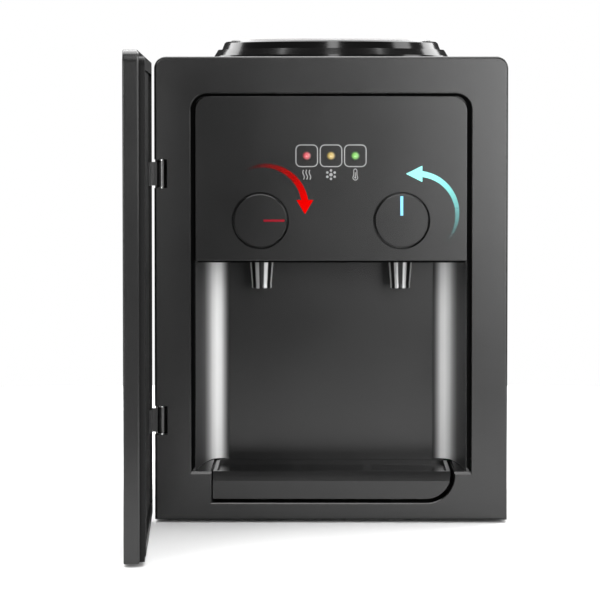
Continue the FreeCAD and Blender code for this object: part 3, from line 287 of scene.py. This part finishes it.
# which finish each CAD node takes
wears = {
    "shell": ["front_frame", "top_cover", "door_panel", "door_hinge_arms"],
    "panel": ["control_panel", "alcove_liner", "knob_hot", "knob_cold", "drip_tray", "drip_grid"],
    "doorDark": ["door_liner"],
    "glossBlack": ["collar_ring_lower", "collar_ring_upper"],
    "powderCoat": ["left_side_panel", "right_side_panel", "rear_panel", "base_plate"],
    "innerBlack": ["tray_bay", "hinge_brackets", "fan_frame", "fan_rotor", "thermostats", "switch_housings",
                   "mains_inlet", "drain_cap"],
    "white": ["bottle_seat"],
    "natural": ["bottle_probe", "tap_spindle_hot", "tap_spindle_cold", "cold_reservoir", "reservoir_lid",
                "drain_spigot"],
    "redMark": ["knob_hot_mark"], "blueMark": ["knob_cold_mark"],
    "rubber": ["feet"], "silicone": ["seat_seal", "water_hoses"], "foam": ["hot_tank_jacket"],
    "board": ["indicator_board", "power_board"], "ceramic": ["cooling_module"], "ferrite": ["door_magnet"],
    "rockerRed": ["rear_switch_hot"], "rockerBlue": ["rear_switch_cold"],
    "silverTrim": ["corner_trim_left", "corner_trim_right"],
    "steel": ["case_screws", "door_strike_plate", "hinge_pins", "hot_tank", "band_heater"],
    "aluminium": ["cold_block", "heatsink"], "brass": ["tap_body_hot", "tap_body_cold"],
}


def dress(piece, material):
    piece.data.materials.clear()
    piece.data.materials.append(material)


for finish, members in wears.items():
    for member in members:
        dress(nodes[member], finishes[finish])

lampLooks = {
    "lamp_heating": {"hot": (1.0, 0.50, 0.50, 1), "bright": (0.72, 0.08, 0.10, 1),
                     "deep": (0.05, 0.004, 0.006, 1)},
    "lamp_cooling": {"hot": (1.0, 0.93, 0.52, 1), "bright": (0.62, 0.44, 0.10, 1),
                     "deep": (0.05, 0.032, 0.006, 1)},
    "lamp_ready": {"hot": (0.70, 1.0, 0.50, 1), "bright": (0.22, 0.62, 0.11, 1),
                   "deep": (0.012, 0.05, 0.008, 1)},
}
for lampName, lampLook in lampLooks.items():
    lampLow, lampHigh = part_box(lampName)
    lampLook.update({"centre": tuple((lampLow + lampHigh) / 2),
                     "radius": (lampHigh.x - lampLow.x) / 2,
                     "strength": 0.46})
    dress(nodes[lampName], lensMaterial(lampName + "_lens", lampLook))


# a spout whose colour is painted in upright stripes, light and dark round its axis: painted reflections of
# the lights, dark where it faces straight ahead
def chromeWithPaintedReflections(name, node):
    look = {"bands": 8, "dark": grey(0.012), "light": grey(0.52), "rough": 0.22, "smearScale": 160,
            "smearGloss": 0.05, "metal": 0.35, "specular": 0.3}
    low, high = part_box(node)
    material, wire, shader = newMaterial(name, {"Metallic": look["metal"],
                                                "Specular IOR Level": look["specular"]})
    points = objectPoints(wire, (1, 1, 1), tuple((low + high) / 2))
    across, deep, up = points.parts()
    angle = wire.join("ARCTAN2", across, deep)
    swing = wire.join("COSINE", angle * look["bands"] + math.pi, 0.0)
    paintedReflection = wire.make("ShaderNodeMapRange", {"interpolation_type": "SMOOTHSTEP"},
                     {"Value": swing, "From Min": -0.25, "From Max": 0.65, "To Min": 0.0, "To Max": 1.0})
    smear = noise(wire, points, look["smearScale"], 2)
    # the painted reflection stripes go into the base colour
    feed(shader, "Base Color", mixColour(wire, paintedReflection, look["dark"], look["light"]))
    feed(shader, "Roughness", look["rough"] + (smear - 0.5) * look["smearGloss"])
    return material


for spout in ("nozzle_hot", "nozzle_cold"):
    dress(nodes[spout], chromeWithPaintedReflections(spout + "_chrome", spout))
print("finishes on the CAD nodes")


def deselectAll():
    for item in bpy.context.selected_objects:
        item.select_set(False)


def takeUp(piece):
    deselectAll()
    piece.select_set(True)
    bpy.context.view_layer.objects.active = piece


def nameActive(name):
    piece = bpy.context.active_object
    piece.name = name
    piece.data.name = name
    return piece


def bake(piece):
    takeUp(piece)
    bpy.ops.object.transform_apply(location=True, rotation=True, scale=True)


def modify(piece, kind, **settings):
    takeUp(piece)
    modifier = piece.modifiers.new(kind.lower(), kind)
    for key, value in settings.items():
        setattr(modifier, key, value)
    bpy.ops.object.modifier_apply(modifier=modifier.name)


def smooth(piece, degrees=35):
    takeUp(piece)
    bpy.ops.object.shade_smooth_by_angle(angle=math.radians(degrees))


def finishPiece(piece, body, material, degrees=35):
    bake(piece)
    smooth(piece, degrees)
    dress(piece, material)
    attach(piece, body)
    return piece


# a copy has a mesh of its own, moved by shift in that mesh, so that the object stays at the origin
def copyPiece(source, name, shift, body=None):
    copy = source.copy()
    copy.data = source.data.copy()
    bpy.context.collection.objects.link(copy)
    copy.name = copy.data.name = name
    takeUp(copy)
    copy.location = (shift.x, 0, shift.z)
    bake(copy)
    if body:
        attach(copy, body)
    return copy


def pick(piece, test):
    # select the faces that pass a test, in edit mode afterwards
    takeUp(piece)
    bpy.ops.object.mode_set(mode="EDIT")
    bpy.ops.mesh.select_mode(type="FACE")
    bpy.ops.mesh.select_all(action="DESELECT")
    mesh = bmesh.from_edit_mesh(piece.data)
    for face in mesh.faces:
        face.select = test(face)
    bmesh.update_edit_mesh(piece.data)


def leaveEdit():
    bpy.ops.object.mode_set(mode="OBJECT")


# marks printed on the control panel
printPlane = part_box("control_panel")[0].y       # the panel's front face
lampNodes = ["lamp_heating", "lamp_cooling", "lamp_ready"]
frameSquare = {"side": 19.2, "line": 0.9, "corner": 4.4, "height": 0.12}


def squareOutline(name, centre):
    bpy.ops.mesh.primitive_plane_add(size=frameSquare["side"] * mm, location=centre,
                                     rotation=(math.radians(90), 0, 0))
    piece = nameActive(name)
    bpy.ops.object.mode_set(mode="EDIT")
    bpy.ops.mesh.select_all(action="SELECT")
    bpy.ops.mesh.bevel(offset=frameSquare["corner"] * mm, segments=8, affect="VERTICES")
    bpy.ops.mesh.select_all(action="SELECT")
    bpy.ops.mesh.inset(thickness=frameSquare["line"] * mm)
    bpy.ops.mesh.delete(type="FACE")
    leaveEdit()
    modify(piece, "SOLIDIFY", thickness=frameSquare["height"] * mm, offset=1)
    return finishPiece(piece, "case", finishes["ink"])


firstLamp = middleOf(lampNodes[0])
firstOutline = squareOutline(lampNodes[0] + "_outline", Vector((firstLamp.x, printPlane, firstLamp.z)))
for lampNode in lampNodes[1:]:
    copyPiece(firstOutline, lampNode + "_outline", middleOf(lampNode) - firstLamp, "case")

symbolRow = {"below": 16.0, "height": 0.12, "stroke": 0.42}


def stroke(name, points, radius, taper=None):
    # a smooth line through points, flattened onto the panel
    bpy.ops.curve.primitive_nurbs_path_add(location=(0, 0, 0))
    piece = nameActive(name)
    curve = piece.data
    curve.splines.clear()
    spline = curve.splines.new("NURBS")
    spline.points.add(len(points) - 1)
    for index, (point, target) in enumerate(zip(spline.points, points)):
        point.co = (*target, 1)
        point.radius = taper[index] if taper else 1
    spline.order_u = 3
    spline.use_endpoint_u = True
    spline.resolution_u = 10
    curve.dimensions = "3D"
    curve.bevel_depth = radius
    curve.bevel_resolution = 3
    curve.use_fill_caps = True
    takeUp(piece)
    bpy.ops.object.convert(target="MESH")
    return bpy.context.active_object


def flatten(piece, plane, height):
    # squash a piece across the panel so that it stands height proud of the plane
    takeUp(piece)
    low = min(v.co.y for v in piece.data.vertices)
    high = max(v.co.y for v in piece.data.vertices)
    bpy.ops.object.mode_set(mode="EDIT")
    bpy.ops.mesh.select_all(action="SELECT")
    bpy.ops.transform.resize(value=(1, height / (high - low), 1), center_override=(0, plane, 0))
    leaveEdit()
    shift = plane - max(v.co.y for v in piece.data.vertices)
    bpy.ops.object.mode_set(mode="EDIT")
    bpy.ops.mesh.select_all(action="SELECT")
    bpy.ops.transform.translate(value=(0, shift, 0))
    leaveEdit()


def joinPieces(name, pieces):
    deselectAll()
    for piece in pieces:
        piece.select_set(True)
    bpy.context.view_layer.objects.active = pieces[0]
    bpy.ops.object.join()
    return nameActive(name)


def printed(name, pieces, material=None):
    piece = joinPieces(name, pieces) if len(pieces) > 1 else pieces[0]
    flatten(piece, printPlane, symbolRow["height"] * mm)
    piece.name = name
    return finishPiece(piece, "case", material or finishes["ink"], 30)


def disc(name, centre, radius, sides=20):
    bpy.ops.mesh.primitive_cylinder_add(vertices=sides, radius=radius, depth=0.4 * mm, location=centre,
                                        rotation=(math.radians(90), 0, 0))
    piece = nameActive(name)
    bake(piece)
    return piece


def heatSymbol(centre):
    # three rising waves
    waves = {"spread": 2.7, "rise": 8.2, "sway": 0.75}
    pieces = []
    for column in (-1, 0, 1):
        points = []
        for step in range(7):
            sway = waves["sway"] * math.sin(step / 6 * 2 * math.pi)
            level = (step / 6 - 0.5) * waves["rise"]
            points.append(centre + Vector((column * waves["spread"] + sway, 0, level)) * mm)
        pieces.append(stroke("heatWave", points, symbolRow["stroke"] * mm))
    return printed("heat_symbol", pieces)


def coldSymbol(centre):
    # a dot with six blobs around it
    ring = {"middle": 1.5, "blob": 1.1, "reach": 3.6}
    pieces = [disc("coldDot", centre, ring["middle"] * mm)]
    spots = []
    for turn in range(6):
        angle = math.radians(turn * 60 + 30)
        spots.append(centre + Vector((math.cos(angle), 0, math.sin(angle))) * ring["reach"] * mm)
    blob = disc("coldBlob", spots[0], ring["blob"] * mm)
    pieces.append(blob)
    pieces.extend(copyPiece(blob, "coldBlobCopy", spot - spots[0]) for spot in spots[1:])
    return printed("cold_symbol", pieces)


def thermometerSymbol(centre):
    # a bulb under a round-topped stem, drawn as one outline, with a mark inside
    shape = {"stem": 1.35, "bulb": 2.1, "top": 4.8, "bulbLevel": -2.5, "line": 0.36}
    meet = math.asin(shape["stem"] / shape["bulb"])
    outlinePoints = []
    for step in range(9):
        angle = math.pi * step / 8
        level = shape["top"] - shape["stem"] + math.sin(angle) * shape["stem"]
        outlinePoints.append((math.cos(angle) * shape["stem"], level))
    for step in range(13):
        angle = math.pi / 2 + meet + (2 * math.pi - 2 * meet) * step / 12
        level = shape["bulbLevel"] + math.sin(angle) * shape["bulb"]
        outlinePoints.append((math.cos(angle) * shape["bulb"], level))
    outlinePoints.append(outlinePoints[0])
    line = stroke("bulbLine", [centre + Vector((x, 0, z)) * mm for x, z in outlinePoints], shape["line"] * mm)
    coreLevels = (shape["bulbLevel"], 0.0, 2.0)
    core = stroke("bulbCore", [centre + Vector((0, 0, z)) * mm for z in coreLevels], 0.3 * mm)
    dot = disc("bulbDot", centre + Vector((0, 0, shape["bulbLevel"])) * mm, 0.8 * mm)
    return printed("ready_symbol", [line, core, dot])


for lampNode, draw in zip(lampNodes, (heatSymbol, coldSymbol, thermometerSymbol)):
    lampMiddle = middleOf(lampNode)
    draw(Vector((lampMiddle.x, printPlane, lampMiddle.z)) - Vector((0, 0, symbolRow["below"])) * mm)
print("printed symbols")

# the arcs show which way each knob turns; clock angles are in degrees from twelve o'clock
arcs = {
    "hot": {"knob": "knob_hot", "slot": "red_mark", "across": 3.4, "up": 11.9, "radius": 34.8,
            "tail": -29, "full": 84, "shaftEnd": 82,
            "widths": (1.2, 3.2, 4.6, 5.6, 6.2), "headWide": 14.4, "headLong": 12.2, "points": "down"},
    "cold": {"knob": "knob_cold", "slot": "blue_mark", "across": 13.1, "up": 5.7, "radius": 34.2,
             "tail": 132, "full": 22, "shaftEnd": 6,
             "widths": (1.4, 3.0, 4.2, 4.8, 5.2), "headWide": 14.0, "headLong": 14.0, "points": "left"},
}
inks = {
    "hot": {"faint": (0.10, 0.012, 0.012, 1), "strong": (0.58, 0.0006, 0.0004, 1), "glow": 0.1},
    "cold": {"faint": (0.12, 0.24, 0.24, 1), "strong": (0.28, 0.80, 0.77, 1), "glow": 0.1},
}


def arrow(name, spec, ink):
    knobMiddle = middleOf(spec["knob"])
    centre = Vector((knobMiddle.x + spec["across"] * mm, printPlane, knobMiddle.z + spec["up"] * mm))
    steps = 12
    line, widths = [], []
    for step in range(steps + 1):
        share = step / steps
        angle = math.radians(spec["tail"] + (spec["shaftEnd"] - spec["tail"]) * share)
        line.append(centre + Vector((math.sin(angle), 0, math.cos(angle))) * spec["radius"] * mm)
        slot = share * (len(spec["widths"]) - 1)
        low = min(int(slot), len(spec["widths"]) - 2)
        width = spec["widths"][low] + (spec["widths"][low + 1] - spec["widths"][low]) * (slot - low)
        widths.append(width / 2)
    shaft = stroke(name + "Shaft", line, 1 * mm, widths)
    # the head is a three-sided prism: its first corner points up before it is turned
    turn = {"down": math.pi, "left": -math.pi / 2}[spec["points"]]
    bpy.ops.mesh.primitive_cylinder_add(vertices=3, radius=1, depth=1 * mm, location=(0, 0, 0),
                                        rotation=(math.radians(90), 0, 0))
    head = nameActive(name + "Head")
    bake(head)
    tall = max(v.co.z for v in head.data.vertices) - min(v.co.z for v in head.data.vertices)
    wide = max(v.co.x for v in head.data.vertices) - min(v.co.x for v in head.data.vertices)
    head.scale = (spec["headWide"] * mm / wide, 1, spec["headLong"] * mm / tall)
    bake(head)
    head.rotation_euler = (0, turn, 0)
    bake(head)
    middle = (max(v.co.x for v in head.data.vertices) + min(v.co.x for v in head.data.vertices)) / 2
    level = (max(v.co.z for v in head.data.vertices) + min(v.co.z for v in head.data.vertices)) / 2
    end = line[-1]
    ahead = Vector((0, 0, -1)) if spec["points"] == "down" else Vector((-1, 0, 0))
    target = end + ahead * (spec["headLong"] / 2 - 0.8) * mm
    head.location = (target.x - middle, printPlane, target.z - level)
    bake(head)
    modify(head, "BEVEL", width=0.35 * mm, segments=2)
    angleOf = {"tail": math.radians(spec["tail"]), "full": math.radians(spec["full"]),
               "centre": tuple(centre)}
    return printed(name, [shaft, head], fadingInk(name + "_ink", {**ink, **angleOf}))


for side in ("hot", "cold"):
    arrow(side + "_arrow", arcs[side], inks[side])
print("turning arrows")


# a matte black strip lies in the groove round the control panel and the alcove's mouth: painted shade that
# darkens the groove floor
grooveShade = {"half": 118.8, "top": 362.2, "low": 41.4, "corner": 13.3, "wide": 3.2,
        "crown": 1.6, "face": 2.7, "thick": 0.7, "edge": 0.15}


def mouthShadeStrip():
    tall = grooveShade["top"] - grooveShade["low"]
    middle = place(0, grooveShade["face"], (grooveShade["top"] + grooveShade["low"]) / 2)
    bpy.ops.mesh.primitive_plane_add(size=1, location=middle, rotation=(math.radians(90), 0, 0))
    piece = nameActive("mouth_shade_strip")
    piece.scale = (2 * grooveShade["half"] * mm, tall * mm, 1)
    bake(piece)
    takeUp(piece)
    bpy.ops.object.mode_set(mode="EDIT")
    bpy.ops.mesh.select_mode(type="VERT")
    bpy.ops.mesh.select_all(action="DESELECT")
    mesh = bmesh.from_edit_mesh(piece.data)
    for vertex in mesh.verts:
        vertex.select = vertex.co.z > middle.z
    bmesh.update_edit_mesh(piece.data)
    bpy.ops.mesh.bevel(offset=grooveShade["corner"] * mm, segments=12, affect="VERTICES")
    bpy.ops.mesh.select_mode(type="FACE")
    bpy.ops.mesh.select_all(action="SELECT")
    bpy.ops.mesh.inset(thickness=grooveShade["wide"] * mm)
    bpy.ops.mesh.delete(type="FACE")
    leaveEdit()
    # the gap over the panel is narrower than the ones beside it
    innerTop = place(0, 0, grooveShade["top"] - grooveShade["wide"]).z
    roundFrom = innerTop - (grooveShade["corner"] - grooveShade["wide"] + 0.1) * mm
    takeUp(piece)
    bpy.ops.object.mode_set(mode="EDIT")
    bpy.ops.mesh.select_mode(type="VERT")
    bpy.ops.mesh.select_all(action="DESELECT")
    mesh = bmesh.from_edit_mesh(piece.data)
    for vertex in mesh.verts:
        inner = abs(vertex.co.x - datum.x) < (grooveShade["half"] - grooveShade["wide"]) * mm + 1e-6
        vertex.select = inner and roundFrom < vertex.co.z < innerTop + 1e-5
    bmesh.update_edit_mesh(piece.data)
    bpy.ops.transform.translate(value=(0, 0, (grooveShade["wide"] - grooveShade["crown"]) * mm))
    leaveEdit()
    footLevel = place(0, 0, grooveShade["low"] + grooveShade["wide"] + 0.1).z
    pick(piece, lambda face: max(v.co.z for v in face.verts) < footLevel)
    bpy.ops.mesh.delete(type="FACE")
    leaveEdit()
    modify(piece, "SOLIDIFY", thickness=grooveShade["thick"] * mm, offset=-1)
    modify(piece, "BEVEL", width=grooveShade["edge"] * mm, segments=2, limit_method="ANGLE")
    return finishPiece(piece, "case", finishes["paintedShadeBlack"])


mouthShadeStrip()

shadowLine = {"half": 113.5, "top": 220.7, "tall": 1.3, "front": 1.0, "deep": 1.8, "edge": 0.3}


def panelShadowLine():
    # a matte black strip under the panel's lower edge, where the nozzles come down behind it: painted shadow
    # for the dark line under the panel
    bpy.ops.mesh.primitive_cube_add(size=1, location=place(0, shadowLine["front"] + shadowLine["deep"] / 2,
                                                           shadowLine["top"] - shadowLine["tall"] / 2))
    piece = nameActive("panel_shadow_line_strip")
    piece.scale = (2 * shadowLine["half"] * mm, shadowLine["deep"] * mm, shadowLine["tall"] * mm)
    bake(piece)
    modify(piece, "BEVEL", width=shadowLine["edge"] * mm, segments=2)
    return finishPiece(piece, "case", finishes["paintedShadeBlack"])


panelShadowLine()
print("seal in the groove")


# a thin sheet from each side of the alcove's mouth round to its rear corner, which carries a painted
# highlight
cheek = {"mouth": (115.28, 4.2), "bend": (112.28, 60.0), "round": (89.95, 98.0), "radius": 15.78,
         "lean": 9.46,
         "low": 41.5, "high": 221.6, "thick": 0.3, "bendSteps": 16}
# the painted highlight's tone at each distance from the middle, in mm, from the mouth to the rear wall: a
# bright upright band that stands in for a reflection, dark at both ends
paintedHighlightTones = ((115.5, 0.004), (112.3, 0.014), (110.0, 0.05), (107.6, 0.30), (104.6, 0.80), (100.5, 0.92),
             (97.0, 0.74), (94.2, 0.30), (91.6, 0.06), (89.9, 0.012))


def paintedHighlightMaterial():
    material, wire, shader = newMaterial("cheek_painted_highlight", {"Specular IOR Level": 0.08})
    across, deep, up = objectPoints(wire, (1, 1, 1), tuple(datum)).parts()
    away = wire.join("ABSOLUTE", across, 0.0)
    near, far = paintedHighlightTones[-1][0] * mm, paintedHighlightTones[0][0] * mm
    share = wire.make("ShaderNodeMapRange", {}, {"Value": away, "From Min": near, "From Max": far,
                                                 "To Min": 0.0, "To Max": 1.0})
    stops = [((reach * mm - near) / (far - near), grey(tone)) for reach, tone in reversed(paintedHighlightTones)]
    tint = wire.make("ShaderNodeValToRGB", {"stops": stops}, {0: share}, "Color")
    lines = noise(wire, objectPoints(wire, (2400, 2400, 30)), 1.0, 2)
    # the base colour follows the painted highlight's tones across the sheet, with faint brushed lines over it
    feed(shader, "Base Color", mixColour(wire, lines * 0.05, tint, grey(0.3)))
    feed(shader, "Roughness", 0.40 + (lines - 0.5) * 0.08)
    return material


def cheekHighlightStrip(name, side, trim, material):
    middle = (cheek["low"] + cheek["high"]) / 2
    tall = (cheek["high"] - cheek["low"]) * mm
    start, bend = cheek["mouth"], cheek["bend"]
    turn = math.radians(cheek["lean"])
    corner = (cheek["round"][0] + cheek["radius"] * math.cos(turn),
              cheek["round"][1] + cheek["radius"] * math.sin(turn))
    bpy.ops.mesh.primitive_plane_add(size=tall, location=place(side * start[0], start[1], middle),
                                     rotation=(0, math.radians(90), 0))
    piece = nameActive(name)
    bake(piece)
    takeUp(piece)
    bpy.ops.object.mode_set(mode="EDIT")
    bpy.ops.mesh.select_mode(type="VERT")
    bpy.ops.mesh.select_all(action="DESELECT")
    mesh = bmesh.from_edit_mesh(piece.data)
    plane = place(0, start[1], 0).y
    for vertex in mesh.verts:
        vertex.select = vertex.co.y < plane
    bmesh.update_edit_mesh(piece.data)
    bpy.ops.mesh.delete(type="VERT")           # leaves the far upright edge
    bpy.ops.mesh.select_all(action="SELECT")
    bpy.ops.transform.translate(value=(0, -tall / 2, 0))
    for before, after in ((start, bend), (bend, corner)):
        step = Vector((side * (after[0] - before[0]), after[1] - before[1], 0)) * mm
        bpy.ops.mesh.extrude_region_move(TRANSFORM_OT_translate={"value": step})
    bpy.ops.mesh.spin(steps=cheek["bendSteps"], angle=-side * (math.pi / 2 - turn), axis=(0, 0, 1),
                      center=place(side * cheek["round"][0], cheek["round"][1], middle))
    bpy.ops.mesh.select_all(action="SELECT")
    bpy.ops.mesh.remove_doubles(threshold=0.00001)
    bpy.ops.mesh.normals_make_consistent(inside=False)
    leaveEdit()
    modify(piece, "SOLIDIFY", thickness=cheek["thick"] * mm, offset=0)
    takeUp(piece)
    bpy.ops.object.mode_set(mode="EDIT")
    bpy.ops.mesh.select_all(action="SELECT")
    bpy.ops.mesh.normals_make_consistent(inside=False)
    leaveEdit()
    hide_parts(trim)
    return finishPiece(piece, "case", material, 50)


highlightSheet = paintedHighlightMaterial()
cheekHighlightStrip("cheek_highlight_strip_left", -1, "corner_trim_left", highlightSheet)
cheekHighlightStrip("cheek_highlight_strip_right", 1, "corner_trim_right", highlightSheet)
print("cheek strips")


# the stage: a plain pale floor, soft lights that the camera doesn't see, and the camera
studio = {"floorRadius": 1.25, "floorBack": 0.25, "floorShade": 0.86, "aimHeight": 0.2, "sky": 0.06}
bpy.ops.mesh.primitive_circle_add(vertices=96, radius=studio["floorRadius"], fill_type="NGON",
                                  location=(0, studio["floorBack"], 0))
floor = nameActive("studio_floor")
floorMaterial, floorWire, floorShader = newMaterial("studio_floor", {"Roughness": 0.85})
floorCloud = noise(floorWire, objectPoints(floorWire), 3, 2)
floorDark, floorLight = grey(studio["floorShade"]), grey(studio["floorShade"] + 0.02)
feed(floorShader, "Base Color", mixColour(floorWire, floorCloud, floorDark, floorLight))
dress(floor, floorMaterial)

# each light stands on a circle round the object: turn is in degrees from straight in front, to the right
studioLights = [
    {"name": "key", "turn": 15.7, "reach": 3.1, "high": 0.56, "size": (1.02, 1.02), "power": 42},
    {"name": "overhead", "turn": 180, "reach": 0.75, "high": 2.1, "size": (3.0, 2.6), "power": 150},
    {"name": "frontLeft", "turn": -24, "reach": 2.6, "high": 0.5, "size": (0.8, 1.3), "power": 33},
    {"name": "frontRight", "turn": 46, "reach": 2.3, "high": 0.5, "size": (0.9, 1.3), "power": 17},
    {"name": "highFront", "turn": 3, "reach": 1.35, "high": 1.75, "size": (0.34, 1.3), "power": 8},
    {"name": "sideRight", "turn": 92, "reach": 2.3, "high": 1.1, "size": (0.8, 1.9), "power": 20},
    {"name": "backRight", "turn": 135, "reach": 2.4, "high": 1.2, "size": (1.0, 1.2), "power": 18},
    {"name": "backLeft", "turn": -132, "reach": 2.4, "high": 1.2, "size": (1.0, 1.2), "power": 18},
]
for spec in studioLights:
    turn = math.radians(spec["turn"])
    spot = Vector((math.sin(turn) * spec["reach"], -math.cos(turn) * spec["reach"], spec["high"]))
    bpy.ops.object.light_add(type="AREA", location=spot)
    studioLight = bpy.context.active_object
    studioLight.name = spec["name"]
    studioLight.data.shape = "RECTANGLE"
    studioLight.data.size, studioLight.data.size_y = spec["size"]
    studioLight.data.energy = spec["power"]
    studioLight.visible_camera = False
    toward = Vector((0, 0, studio["aimHeight"])) - spot
    studioLight.rotation_euler = toward.to_track_quat("-Z", "Y").to_euler()

world = bpy.context.scene.world or bpy.data.worlds.new("studio")
bpy.context.scene.world = world
world.use_nodes = True
worldTree = world.node_tree
worldTree.nodes.clear()
sky = Wire(worldTree)
seenByCamera = sky.make("ShaderNodeLightPath", output="Is Camera Ray")
dim = sky.make("ShaderNodeBackground", inputs={"Color": grey(0.9), "Strength": studio["sky"]})
bright = sky.make("ShaderNodeBackground", inputs={"Color": grey(1.0), "Strength": 1.0})
blend = sky.make("ShaderNodeMixShader", inputs={0: seenByCamera, 1: dim, 2: bright})
worldOutput = worldTree.nodes.new("ShaderNodeOutputWorld")
worldTree.links.new(blend.socket, worldOutput.inputs["Surface"])
bpy.context.scene.view_settings.view_transform = "Standard"

view = {"distance": 2.87, "height": 0.3445, "down": 3.08, "left": 0.525, "lens": 203}
bpy.ops.object.camera_add(location=(datum.x, datum.y - view["distance"], view["height"]),
                          rotation=(math.radians(90 - view["down"]), 0, math.radians(view["left"])))
camera = bpy.context.active_object
camera.name = "studio_camera"
camera.data.lens = view["lens"]
camera.data.sensor_width = 36
bpy.context.scene.camera = camera
print("stage, lights and camera")
